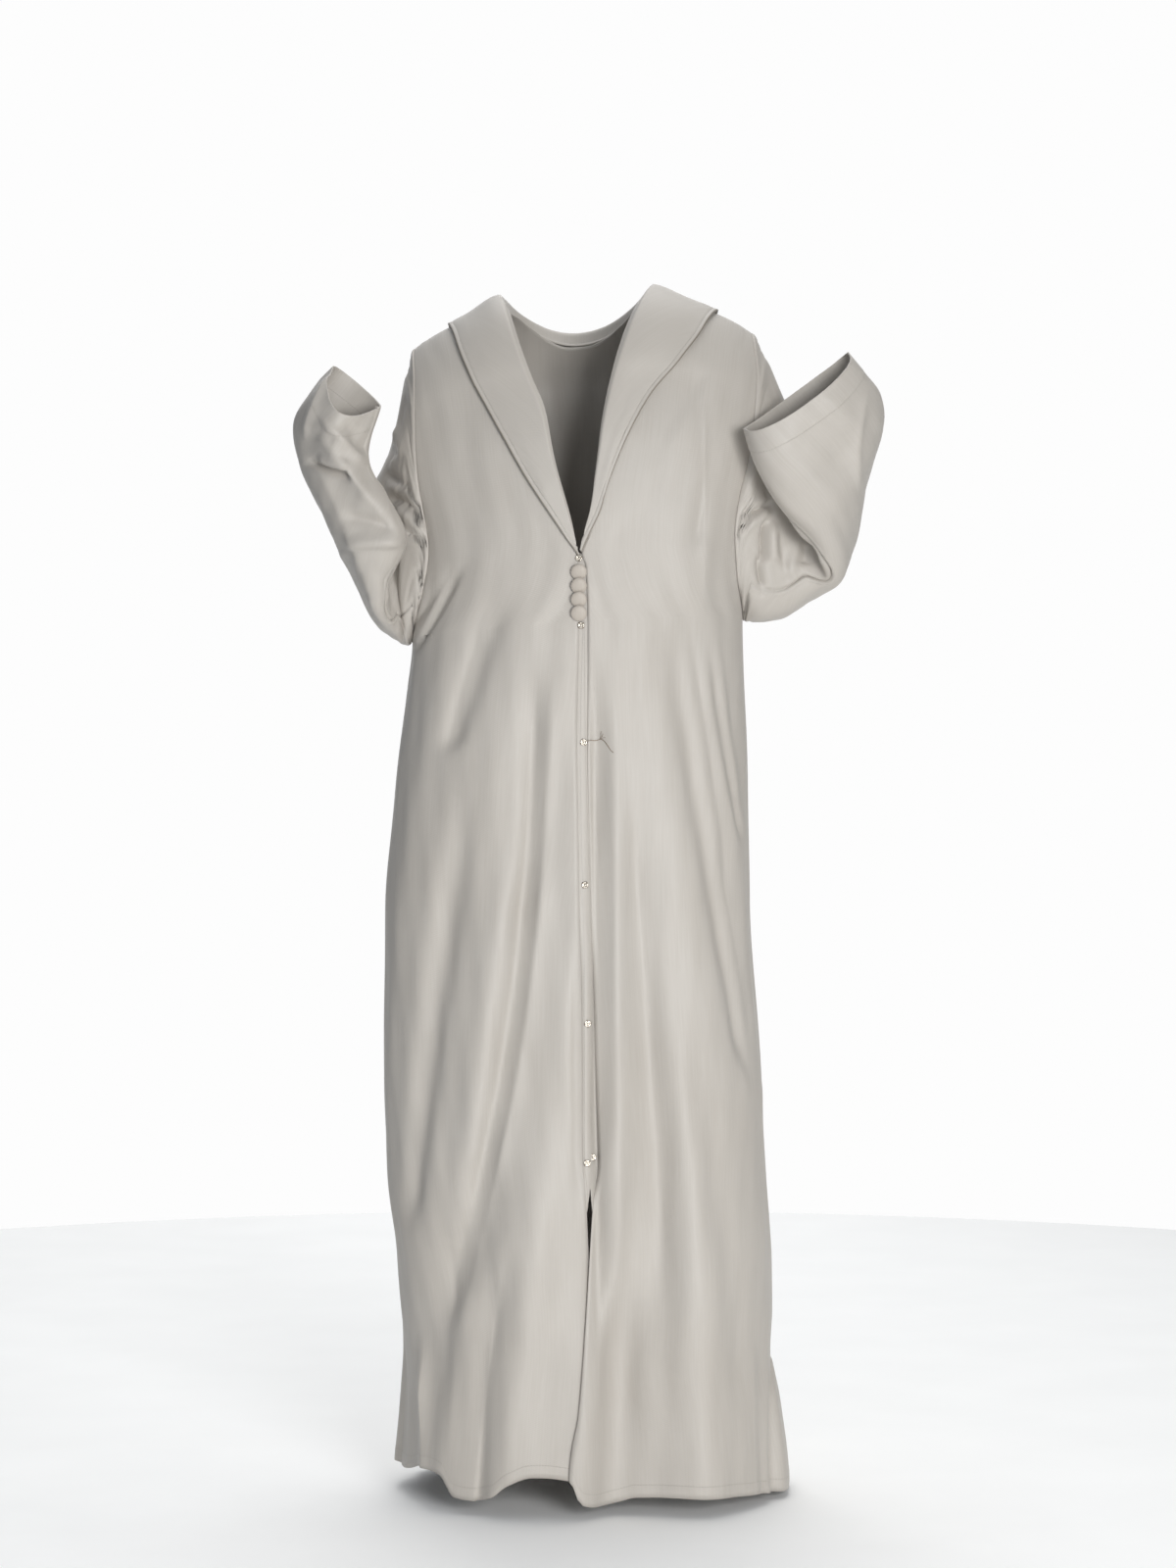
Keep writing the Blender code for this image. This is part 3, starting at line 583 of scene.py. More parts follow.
def own_coordinates(points):
    """Distances across and down a grid of points, in metres, as cloth is measured."""
    across, _, down, _ = edge_distances(points)
    return np.stack([across - across.mean(axis=1, keepdims=True), -down], axis=-1)


def facing(points, middle):
    """Unit normals of a grid of points, pointing away from its middle line."""
    across = np.gradient(points, axis=1)
    down = np.gradient(points, axis=0)
    normal = unit(np.cross(across, down))
    away = np.sum(normal * (points - middle)) > 0.0
    return normal if away else -normal


def lay(name, points, outward, from_hem, wall, offset, closed=False):
    """A grid laid on the points and given a wall; offset is -1 inwards and 1 outwards."""
    rows, columns = points.shape[:2]
    grid = bmesh.new()
    bmesh.ops.create_grid(grid, x_segments=columns - 1, y_segments=rows - 1, size=0.5)
    mesh = bpy.data.meshes.new(name)
    grid.to_mesh(mesh)
    flat = np.empty(len(mesh.vertices) * 3)
    mesh.vertices.foreach_get("co", flat)
    place = flat.reshape(-1, 3)
    column = np.rint((place[:, 0] + 0.5) * (columns - 1)).astype(int)
    row = np.rint((0.5 - place[:, 1]) * (rows - 1)).astype(int)
    mesh.vertices.foreach_set("co", points[row, column].ravel())
    corner = np.empty(len(mesh.loops), int)
    mesh.loops.foreach_get("vertex_index", corner)
    for layer, values in (("cloth", own_coordinates(points)), ("hem", from_hem)):
        uv = mesh.uv_layers.new(name=layer)
        uv.data.foreach_set("uv", values[row[corner], column[corner]].ravel())
    mesh.update()
    middle = len(mesh.polygons) // 2 + columns // 2
    face = mesh.polygons[middle]
    v = face.vertices[0]
    grid.clear()
    grid.from_mesh(mesh)
    if face.normal.dot(Vector(outward[row[v], column[v]])) < 0.0:
        bmesh.ops.reverse_faces(grid, faces=grid.faces)
    if closed:
        bmesh.ops.remove_doubles(grid, verts=grid.verts, dist=0.000001)
    grid.to_mesh(mesh)
    grid.free()
    mesh.shade_smooth()
    piece = put(name, mesh)
    shell = piece.modifiers.new("wall", "SOLIDIFY")
    shell.thickness = wall
    shell.offset = offset
    return piece


def area_of(points):
    across = np.diff(points, axis=1)[:-1]
    down = np.diff(points, axis=0)[:, :-1]
    return float(np.linalg.norm(np.cross(across, down), axis=-1).sum())


def dress(piece, material, slot, *nodes):
    """Gives a piece its material, its place on the frame and the nodes that it stands for."""
    piece.data.materials.clear()
    piece.data.materials.append(material)
    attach(piece, "root")
    if nodes:
        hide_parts(*nodes)


# %% [markdown]
# ## Fronts and back
#
# Each front is one length of cloth, from the shoulder seam down to the hem. Its inner edge
# runs down the V and the opening, its outer one round the armhole and down the side. The
# edges at the seams are turned in a little, because a seam pulls cloth into a groove.

# %% Panels
ARM_ROWS = 84
SKIRT_ROWS = 156
FRONT_COLUMNS = 110
BACK_COLUMNS = 190
SEAM_GROOVE = 0.0004
SEAM_GROOVE_WIDTH = 0.0020
SEAM_CALM = 0.016         # a crease ends this far before a seam
COLLAR_HALF = 0.18        # half the collar's width at the shoulders, and how it narrows
COLLAR_SLOPE = 0.6
COLLAR_CALM = 0.02
COLLAR_QUIET = 0.75       # part of the creases that the collar presses flat
OPENING_X = 0.006         # the opening's middle line, and how far from it the cloth lies flat
OPENING_FLAT = 0.006
OPENING_FREE = 0.020
BUTTONS_END = -0.42       # at this height the buttons no longer keep the opening flat
BUTTONS_FADE = 0.06
BUTTON_QUIET = 0.9
HEM_TURN = 0.014          # depth of the body's turned hem
HEM_STEP = 0.00035        # how far the doubled cloth of a hem stands out
HEM_SLOPE = 0.0012


def row_drop(r, hem):
    """r runs from 0 at the shoulder to 1 at the underarm and 2 at the hem."""
    arm = ARMHOLE_DEPTH * 0.5 * (1.0 - np.cos(pi * np.minimum(r, 1.0)))
    return np.where(r <= 1.0, arm, ARMHOLE_DEPTH + (hem - ARMHOLE_DEPTH) * (r - 1.0))


def outer_angle(side, drop, facing_side):
    """The panel's outer edge: the armhole seam, and below it the side seam."""
    reach = SIGN[side] * read(ARMHOLE, "drop", side, drop)
    angle = np.where(drop < ARMHOLE_DEPTH, np.abs(angle_at(reach, drop)), pi / 2)
    depth = read(SECTIONS, "drop", facing_side, drop)
    return np.minimum(angle, pi / 2 - (SEAM / 2 / depth) ** (SQUARE / 2.0))


def lap_lift(side, x, drop):
    near = smooth(LAP_REACH, LAP_FLAT, np.abs(x - read(FRONT_EDGES, "drop", side, drop)))
    return SIGN[side] * LAP_LIFT * smooth(LAP_START, LAP_FULL, drop) * near


def panel_grid(columns):
    r = np.concatenate([np.linspace(0.0, 1.0, ARM_ROWS + 1), np.linspace(1.0, 2.0, SKIRT_ROWS + 1)[1:]])
    return np.meshgrid(np.linspace(0.0, 1.0, columns + 1), r)


def front_surface(side):
    u, r = panel_grid(FRONT_COLUMNS)
    drop = row_drop(r, LENGTH)
    outer = SIGN[side] * outer_angle(side, drop, "front")
    inner = angle_at(read(FRONT_EDGES, "drop", side, drop), drop)
    angle = inner + (outer - inner) * u
    hem = read(FRONT_HEM, "x", "drop", x_at(angle, LENGTH))
    drop = np.where(r > 1.0, row_drop(r, hem), drop)
    over = np.maximum(over_from_drop(drop), SEAM / 2)
    return body_point(angle, over, lap_lift(side, x_at(angle, drop), drop))


def neck_over(x):
    half = np.where(x < 0.0, -FRONT_EDGES[0].right, FRONT_EDGES[0].left)
    return NECK_BACK * np.maximum(0.0, 1.0 - (np.abs(x) / half) ** NECK_ROUND)


def back_surface():
    u, r = panel_grid(BACK_COLUMNS)
    drop = row_drop(r, LENGTH)
    right, left = outer_angle("right", drop, "back"), outer_angle("left", drop, "back")
    angle = -right + (right + left) * u
    over = over_from_drop(drop)
    full = float(over_from_drop(np.array(ARMHOLE_DEPTH)))
    scoop = neck_over(x_at(angle, drop))
    over = np.where(over < full, scoop + over * (1.0 - scoop / full), over)
    hem = read(BACK_HEM, "x", "drop", x_at(angle, LENGTH))
    over = np.where(r > 1.0, over_from_drop(row_drop(r, hem)), over)
    return body_point(angle, -np.maximum(over, SEAM / 2))


def collar_share(points):
    """1 under the collar, where the cloth is flat, and 0 beyond its edge."""
    return smooth(COLLAR_CALM, 0.0, np.abs(points[..., 0]) - (COLLAR_HALF + COLLAR_SLOPE * points[..., 2]))


def opening_share(points):
    """1 along the opening and 0 away from it."""
    return smooth(OPENING_FREE, OPENING_FLAT, np.abs(points[..., 0] - OPENING_X))


def crease_calm(points):
    by_buttons = opening_share(points) * smooth(BUTTONS_END, BUTTONS_END + BUTTONS_FADE, points[..., 2])
    return 1.0 - np.maximum(COLLAR_QUIET * collar_share(points), BUTTON_QUIET * by_buttons)


def ripple_calm(points):
    return 1.0 - np.maximum(COLLAR_QUIET * collar_share(points), opening_share(points))


def front_relief(points):
    """How far the creases move the fronts, the strip behind them and what is sewn on them."""
    return crease_relief(points, FRONT_CREASES) * crease_calm(points)


def hem_relief(distance, turn):
    """The step of a turned hem, at a distance from its edge."""
    return HEM_STEP * smooth(turn + HEM_SLOPE, turn - HEM_SLOPE, distance)


def finish_panel(name, points, seams, calm_front):
    """Adds creases, seam grooves and the turned hem, and lays the cloth."""
    outward = facing(points, points * UPRIGHT)
    first, last, top, hem = edge_distances(points)
    to_seam = np.minimum.reduce([{"first": first, "last": last, "top": top}[s] for s in seams])
    ripple = unevenness(own_coordinates(points))
    if calm_front:
        relief = front_relief(points) + ripple * ripple_calm(points)
    else:
        relief = crease_relief(points, BACK_CREASES) + ripple
    relief *= smooth(0.0, SEAM_CALM, to_seam)
    relief += hem_relief(hem, HEM_TURN)
    relief -= SEAM_GROOVE * np.exp(-(to_seam / SEAM_GROOVE_WIDTH) ** 2)
    points = points + outward * relief[..., None]
    from_hem = np.stack([own_coordinates(points)[..., 0], hem], axis=-1)
    return lay(name, points, outward, from_hem, CLOTH_WALL, -1.0), area_of(points)


areas = {}
front_right, areas["front_right"] = finish_panel(
    "cloth_front_right", front_surface("right"), ("last", "top"), True)
front_left, areas["front_left"] = finish_panel(
    "cloth_front_left", front_surface("left"), ("last", "top"), True)
back, areas["back"] = finish_panel(
    "cloth_back", back_surface(), ("first", "last"), False)
for name, area in areas.items():
    print(f"{name}: {area:.3f} square metres")

# %% [markdown]
# ## Button stand
#
# Behind the two front edges runs a narrow strip, which keeps the opening closed where it
# gapes between the snaps. It takes the panels' own rows, moved in by their thickness.

# %% Button stand
PLACKET_LAP = 0.009
PLACKET_TOP = 0.286
PLACKET_END = 1.020
PLACKET_ROWS = 120
PLACKET_COLUMNS = 24
PLACKET_DEPTH = 0.0015
PLACKET_NOTCH = 0.028     # a notch runs up from its lower end to a point
PLACKET_NOTCH_HALF = 0.26 # the notch's half width, as a part of the strip's


def placket_surface():
    u, down = np.meshgrid(np.linspace(0.0, 1.0, PLACKET_COLUMNS + 1),
                          np.linspace(0.0, 1.0, PLACKET_ROWS + 1))
    notch = PLACKET_NOTCH * np.maximum(0.0, 1.0 - np.abs(2.0 * u - 1.0) / PLACKET_NOTCH_HALF)
    drop = PLACKET_TOP + (PLACKET_END - notch - PLACKET_TOP) * down
    low = read(FRONT_EDGES, "drop", "right", drop) - PLACKET_LAP
    high = read(FRONT_EDGES, "drop", "left", drop) + PLACKET_LAP
    return body_point(angle_at(low + (high - low) * u, drop), over_from_drop(drop), -PLACKET_DEPTH)


points = placket_surface()
outward = facing(points, points * UPRIGHT)
points = points + outward * front_relief(points)[..., None]
first, last, top, hem = edge_distances(points)
areas["placket"] = area_of(points)
placket = lay("cloth_button_stand", points, outward, np.stack([top, np.minimum(first, last)], axis=-1),
              CLOTH_WALL, -1.0)
print(f"button stand: {areas['placket']:.3f} square metres")

# %% [markdown]
# ## Collar
#
# The shawl collar is one long doubled strip. It is sewn to the neck and the V, stands up a
# little to the roll line, and falls over the fronts and the back. Its free edge is stitched
# 5 mm in, so a plump rim stands there, with a thin shadow beside it. A dark line of painted
# shade runs along the edge itself, in the collar's satin.

# %% Collar
Station = namedtuple("Station", "roll_x roll_over edge_x edge_over stand")
COLLAR = table(Station,
    (-1, 335, -1, 338, 1),
    (-3.8, 327, -9.2, 326, 1),
    (-7.4, 311, -22.2, 307, 1),
    (-28.4, 231, -57.6, 253, 2),
    (-39.4, 175, -84.2, 205, 3),
    (-53.7, 139, -101.9, 171, 4),
    (-69.3, 96, -124.1, 125, 6),
    (-80, 50, -141, 75, 9),
    (-86, 0, -153, 0, 14),
    (-70, -46, -140, -82, 19),
    (-38, -73, -90, -150, 23),
    (-3, -82, -5, -180, 25),
    (33, -74, 85, -153, 24),
    (62, -46, 143, -85, 20),
    (75, 0, 160, 0, 15),
    (64, 50, 141.7, 74, 9),
    (48.1, 99, 115, 120, 6),
    (36, 139, 80, 163, 4),
    (25.5, 189, 52.3, 212, 3),
    (19, 240, 31.2, 262, 2),
    (12.5, 284, 23.4, 289, 2),
    (5, 311, 11.6, 313, 1),
    (0.6, 331, 1.8, 334, 1),
)
COLLAR_LIFT = 0.0055
COLLAR_EDGE_LIFT = 0.0036
COLLAR_SEAT = 0.0026
COLLAR_RISE = 3.2
COLLAR_ROLL = 0.12
COLLAR_LAID = 0.75
COLLAR_STEPS = 16
COLLAR_ACROSS = 52
RIM = 0.0052              # the edge stitch's distance from the edge
RIM_HEIGHT = 0.0003
STITCH_GROOVE = 0.0004
STITCH_GROOVE_WIDTH = 0.0009
COLLAR_WAVE = 0.0008      # a slow wave along the collar, which fades before its seam and edge
COLLAR_WAVE_PACE = 0.043
COLLAR_SEAM_CALM = 0.03
COLLAR_EDGE_CALM = 0.02


def through(values, place):
    """Catmull-Rom through a column of values, at fractional places along it."""
    i = np.clip(place.astype(int), 0, len(values) - 2)
    t = place - i
    shape = (-1,) + (1,) * (values.ndim - 1)
    t = t.reshape(shape) if values.ndim > 1 else t
    before, start = values[np.maximum(i - 1, 0)], values[i]
    end, after = values[i + 1], values[np.minimum(i + 2, len(values) - 1)]
    return 0.5 * (2.0 * start + (end - before) * t
                  + (2.0 * before - 5.0 * start + 4.0 * end - after) * t * t
                  + (3.0 * start - before - 3.0 * end + after) * t ** 3)


def collar_surface():
    place = np.linspace(0.0, len(COLLAR) - 1, COLLAR_STEPS * (len(COLLAR) - 1) + 1)
    value = {name: through(np.array([getattr(s, name) for s in COLLAR]), place)[None, :]
             for name in Station._fields}
    b = np.linspace(0.0, 1.0, COLLAR_ACROSS + 1)[:, None]
    x = value["roll_x"] + (value["edge_x"] - value["roll_x"]) * b
    over = value["roll_over"] + (value["edge_over"] - value["roll_over"]) * b
    rise = smooth(0.0, COLLAR_ROLL, b)
    width = np.hypot(value["edge_x"] - value["roll_x"], value["edge_over"] - value["roll_over"])
    most = COLLAR_RISE * width ** 2
    fall = COLLAR_LIFT + (COLLAR_EDGE_LIFT - COLLAR_LIFT) * smooth(0.6, 1.0, b)
    lift = COLLAR_SEAT + np.minimum(fall - COLLAR_SEAT, most) * rise
    stand = np.minimum(value["stand"], most) * rise * (1.0 - smooth(COLLAR_ROLL, COLLAR_LAID, b))
    points = body_point(angle_at(x, drop_from_over(np.abs(over))), over, lift)
    points[..., 2] += stand
    return points


def flat_normals(points):
    """The body's own outward direction, which a collar shares."""
    out = points * [1.0, 2.5, 0.0]
    out[..., 2] = np.maximum(0.0, points[..., 2] + CAP) * 2.0
    return unit(out)


points = collar_surface()
outward = facing(points, points - flat_normals(points))
first, last, top, edge = edge_distances(points)
relief = RIM_HEIGHT * smooth(RIM, RIM * 0.55, edge)
relief -= STITCH_GROOVE * np.exp(-((edge - RIM) / STITCH_GROOVE_WIDTH) ** 2)
wave = smooth(0.0, COLLAR_SEAM_CALM, top) * smooth(0.0, COLLAR_EDGE_CALM, edge)
relief += COLLAR_WAVE * np.sin(first / COLLAR_WAVE_PACE) * wave
points = points + outward * relief[..., None]
areas["collar"] = area_of(points)
collar = lay("cloth_collar", points, outward, np.stack([first, edge], axis=-1), COLLAR_WALL, 1.0)
print(f"collar: {areas['collar']:.3f} square metres, {first[-1, -1]:.2f} m along its edge")

# %% [markdown]
# ## Sleeves
#
# Each sleeve is one piece with one seam under the arm. It is a tube through rings, each
# given by the point on the underarm seam, the point on the shoulder line, and how far its
# outer and inner walls bulge. The elbow is bent, and the cuff is wide with a deep hem.

# %% Sleeve rings
WALL = 0.0016
SLEEVE_ROUND = 0.75       # under 1, a ring's inner wall is fuller than an ellipse
ASIDE = 0.0006            # the sleeve starts this far out from the armhole, low down
ASIDE_FROM = 0.2
ASIDE_FULL = 0.9
OUT_ROUND = {"left": (0.75,) * 8, "right": (0.75,) * 6 + (0.95, 1.5)}
SLEEVE_START_GAP = 0.0003
SLEEVE_TURNS = 216
SLEEVE_STEPS = 20
Ring = namedtuple("Ring", "under top out inn")
SLEEVE_RINGS = {
    "left": table(Ring,
        ((206, 0, -352), (236, 14, -92), (0, 60, 0), (0, -60, 0)),
        ((237, -2, -345), (265, 35, -138), (14, 52, 0), (-10, -52, 0)),
        ((270, -18, -324), (291, 42, -165), (22, 34, -2), (-22, -36, 0)),
        ((292, -46, -306), (319, 12, -156), (17, -2, -2), (-22, 0, 0)),
        ((265, -84, -266), (342, -36, -130), (14, -32, 4), (-14, 26, 0)),
        ((227, -104, -228), (340, -70, -98), (8, -36, -4), (-4, 30, 0)),
        ((199, -116, -182), (321, -90, -74.5), (10, -37, -10), (0, 30, 0)),
        ((185.5, -120, -140), (302, -100, -53.5), (12, -37, -18), (0, 30, 0)),
    ),
    "right": table(Ring,
        ((-199, -6, -379), (-212, 14, -116), (0, 58, 0), (0, -58, 0)),
        ((-208, -10, -375), (-234, 30, -178), (-10, 50, 0), (8, -46, 0)),
        ((-217, -34, -369), (-264, 36, -205), (-21, 34, -1), (18, -30, 0)),
        ((-223, -66, -352), (-296, 4, -196), (-15, -4, 0), (18, 2, 0)),
        ((-219, -92, -312), (-318, -44, -166), (-12, -34, -4), (10, 26, 0)),
        ((-199, -104, -258), (-323, -78, -128), (-8, -38, -6), (4, 28, 0)),
        ((-240, -112, -180), (-302, -96, -96), (-12, -42, -20), (4, 28, 0)),
        ((-227.5, -114, -116), (-277, -104, -71), (-19, -44, -31), (4, 28, 4)),
    ),
}
CUFF_HEM = 0.025
SEAM_ROLL = radians(43.0)     # the underarm seam is rolled this far to the front
ROLL_START = 0.0              # between these rings it rolls out, and back at the elbow
ROLL_FULL = 0.6
ROLL_KEEP = 3.0
ROLL_END = 4.4
WELT_HEIGHT = 0.0016
SLEEVE_GROOVE = 0.0032
WELT_AWAY = 0.0032
WELT_WIDTH = 0.0016
FACES_BACK = 0.15         # between these the creases of the front give way to those behind
FACES_FRONT = -0.25
ELBOW_START = 3.6         # between these rings the upper creases give way to the lower ones
ELBOW_END = 4.3
ARMHOLE_CALM = 0.010      # creases fade this near the armhole and the underarm seam
UNDERARM_BARE = 0.001
UNDERARM_CALM = 0.007
RIPPLE_CALM = 0.020
SLEEVE_SINK = 0.9         # part of the wall by which the sleeve's head sinks at its seam

# %% [markdown]
# The bent arm drags each sleeve into creases of its own: deep pinches on the inside of the
# elbow, which fan out from one point, soft ridges across the lower arm, and edges where
# the wide cuff folds over itself. Those on the back are rounder, because it is stretched.

# %% Sleeve creases
UPPER_CREASES = {
    "left": table(Crease,
        (225, -216, 179, -238, 1.1, 3.9, -10.2, 0.4),
        (222, -225, 180, -251, 1.1, 5.1, 5.2),
        (215, -230, 212, -291, -4.5, 4.5, -10.8, 0.4),
        (225, -237, 222, -290, -3.4, 6.8, 5.2),
        (204, -273, 210, -326, -1.1, 4.5, -9, 0.3),
        (186, -241, 179, -261, 0, 3.4, -6.6),
        (255, -255, 237, -307, 0, 9, 5.2),
        (260, -263, 256, -291, 0, 7.9, -4.8),
        (203, -160, 191, -228, -2.3, 9, 5.7),
        (221, -169, 215, -217, 0, 6.8, -4.8),
    ),
    "right": table(Crease,
        (-226, -177, -198, -208, 0, 5.7, -7.2, 0.3),
        (-219, -192, -181, -223, 0, 5.7, 5.2),
        (-223, -207, -174, -241, 1.1, 5.7, -8, 0.4),
        (-212, -227, -174, -253, 0, 5.7, 5.2),
        (-203, -253, -170, -269, 0, 2.9, -6.8, 0.4),
        (-231, -132, -210, -168, 0, 7.9, -4.4),
        (-215, -125, -201, -168, 0, 6.8, 3.6),
        (-185, -296, -179, -315, 0, 3.4, -2.8),
    ),
}
LOWER_CREASES = {
    "left": table(Crease,
        (328, -90, 317, -215, -10, 5.5, 3.6, 0, 1.3),
        (269, -276, 294, -311, 2.2, 4.4, 2.4),
        (230, -154, 308, -176, 6.6, 24.3, -1.7),
        (281, -97, 310, -143, 0, 17.7, 1.4),
    ),
    "right": table(Crease,
        (-312, -176, -255, -202, 1.1, 4.4, -10.4, 0.5),
        (-297, -174, -257, -191, 1.1, 6.6, 6),
        (-271, -239, -204, -257, 2.2, 7.7, -5.6),
        (-269, -268, -196, -268, -2.2, 6.6, 6.8, 0.3),
        (-269, -273, -277, -294, 0, 6.6, 2.4),
        (-307, -159, -220, -377, 6.6, 7.7, 3.6, 0, 1.3),
        (-274, -76, -310, -157, -3.3, 5.5, 6, 0, 1.3),
        (-292, -129, -239, -186, 0, 5.5, 6, 0, 1.2),
        (-264, -132, -242, -172, 0, 9.9, -4.4),
        (-297, -143, -271, -159, 0, 6.6, -2),
        (-242, -203, -213, -239, 0, 9.9, 2.8),
        (-255, -294, -211, -317, 3.3, 11, -2.2),
        (-224, -328, -211, -372, 1.1, 3.3, -4.8),
        (-238, -322, -220, -365, 0, 5.5, 2.8),
    ),
}
BEHIND_CREASES = {
    "left": table(Crease,
        (318, -190, 252, -150, 6, 9, -3.2, 0.3),
        (314, -215, 240, -225, 4, 10, -3.6, 0.3),
        (300, -255, 235, -300, -4, 9, -3, 0.3),
        (262, -130, 245, -290, 8, 14, 3),
        (225, -170, 215, -300, 4, 12, -2.6),
    ),
    "right": table(Crease,
        (-290, -230, -228, -190, -6, 9, -3.2, 0.3),
        (-285, -255, -215, -260, -4, 10, -3.6, 0.3),
        (-268, -290, -215, -335, 4, 9, -3, 0.3),
        (-238, -170, -222, -330, -8, 13, 3),
    ),
}
print("sleeve creases:", sum(len(rows) for t in (UPPER_CREASES, LOWER_CREASES, BEHIND_CREASES)
                             for rows in t.values()))


# %% Sleeves
def armhole_ring(side, turn):
    drop = ARMHOLE_DEPTH * 0.5 * (1.0 - np.cos(turn))
    over = over_from_drop(drop)
    front = body_point(SIGN[side] * outer_angle(side, drop, "front"), over)
    back = body_point(SIGN[side] * outer_angle(side, drop, "back"), -over)
    return np.where((np.sin(turn) >= 0.0)[..., None], front, back)


def sleeve_surface(side):
    """Columns run once round from the underarm seam, rows from the armhole to the cuff."""
    place = np.linspace(0.0, len(SLEEVE_RINGS[side]), SLEEVE_STEPS * len(SLEEVE_RINGS[side]) + 1)
    roll = SEAM_ROLL * smooth(ROLL_START, ROLL_FULL, place) * smooth(ROLL_END, ROLL_KEEP, place)
    turn = (pi - roll)[:, None] + np.linspace(0.0, 2.0 * pi, SLEEVE_TURNS + 1)
    cosine, sine = np.cos(turn)[..., None], np.sin(turn)[..., None]
    rings = []
    for ring, out_round in zip(SLEEVE_RINGS[side], OUT_ROUND[side]):
        inner = ring.inn * np.abs(sine) ** SLEEVE_ROUND
        outer = ring.out * np.abs(sine) ** out_round
        middle = (ring.under + ring.top) / 2 + (ring.top - ring.under) / 2 * cosine
        rings.append(middle + np.where(sine >= 0.0, inner, outer))
    seam = armhole_ring(side, turn)
    away = rings[0] - seam
    away[..., 2] = np.maximum(away[..., 2], 0.0)
    aside = unit(seam * [1.0 / SHOULDER_HALF ** 2, 1.0 / CAP ** 2, 0.0])
    below = smooth(ASIDE_FROM, ASIDE_FULL, (1.0 - cosine) / 2.0)
    start = seam + unit(away) * SLEEVE_START_GAP + aside * ASIDE * below
    shares = through(np.eye(len(rings) + 1), place)
    return np.einsum("rk,krcx->rcx", shares, np.array([start] + rings)), place


def make_sleeve(side):
    points, place = sleeve_surface(side)
    points[:, -1] = points[:, 0]
    middle = points.mean(axis=1, keepdims=True)
    wrapped = np.concatenate([points[:, -3:-1], points, points[:, 1:3]], axis=1)
    outward = facing(wrapped, middle)[:, 2:-2]
    outward[:, -1] = outward[:, 0]
    first, last, top, cuff = edge_distances(points)
    to_seam = np.minimum(first, last)
    cloth = own_coordinates(points)
    in_front = smooth(FACES_BACK, FACES_FRONT, outward[..., 1])
    lower = smooth(ELBOW_START, ELBOW_END, place)[:, None]
    relief = crease_relief(points, UPPER_CREASES[side]) * in_front * (1.0 - lower)
    relief += crease_relief(points, LOWER_CREASES[side]) * in_front * lower
    relief += crease_relief(points, BEHIND_CREASES[side]) * (1.0 - in_front)
    relief *= smooth(0.0, ARMHOLE_CALM, top) * smooth(UNDERARM_BARE, UNDERARM_CALM, to_seam)
    relief += unevenness(cloth) * smooth(0.0, RIPPLE_CALM, top) * smooth(0.0, RIPPLE_CALM, to_seam)
    relief += hem_relief(cuff, CUFF_HEM)
    relief -= SLEEVE_GROOVE * np.exp(-(to_seam / SEAM_GROOVE_WIDTH) ** 2)
    relief += WELT_HEIGHT * np.exp(-((first - WELT_AWAY) / WELT_WIDTH) ** 2)
    relief -= WALL * SLEEVE_SINK * np.exp(-(top / SEAM_GROOVE_WIDTH) ** 2)
    points = points + outward * relief[..., None]
    points[:, -1] = points[:, 0]
    areas["sleeve_" + side] = area_of(points)
    from_hem = np.stack([cloth[..., 0], cuff], axis=-1)
    return lay("cloth_sleeve_" + side, points, outward, from_hem, WALL, 1.0, closed=True)


sleeve_left = make_sleeve("left")
sleeve_right = make_sleeve("right")
for side in ("left", "right"):
    print(f"{side} sleeve: {areas['sleeve_' + side]:.3f} square metres")

# %% [markdown]
# ## Covered buttons
#
# A covered button is a tin dome with a round of the cloth pulled over it and pinched under
# its back. The cloth is tight on top and puckers a little at the rim. Four of them sit so
# close that each leans over the one above. They are turned from a profile, as a lathe would.

# %% Buttons
CLEAR = 0.0004
BUTTON_R = 0.0091
BUTTON_BACK_R = 0.0083
BUTTON_EDGE = 0.0010
BUTTON_DOME = 0.0028
BUTTON_TILT = radians(15.0)
BUTTON_X = -0.0012
BUTTON_TOP = 0.3058
BUTTON_PITCH = 0.0148
BUTTON_COUNT = 4
BUTTON_TURNS = 72
PUCKERS = 18
PUCKER_DEPTH = 0.00013
SEAT_STEP = 0.004


def front_place(x, drop):
    return angle_at(np.array(x), np.array(drop)), over_from_drop(np.array(drop))


def seat(x, drop, lift, tilt=0.0):
    """A matrix that stands a turned piece's back on the front, its top edge tilted out."""
    angle, over = front_place(x, drop)
    step = SEAT_STEP / SHOULDER_HALF
    across = Vector(body_point(angle + step, over) - body_point(angle - step, over))
    down = Vector(body_point(angle, over + SEAT_STEP) - body_point(angle, over - SEAT_STEP))
    out = down.cross(across).normalized()
    turn = out.to_track_quat("Z", "Y").to_matrix().to_4x4()
    place = body_point(angle, over, lift)
    place = Vector(place) + out * float(front_relief(place))
    return Matrix.Translation(place) @ turn @ Matrix.Rotation(tilt, 4, "X")


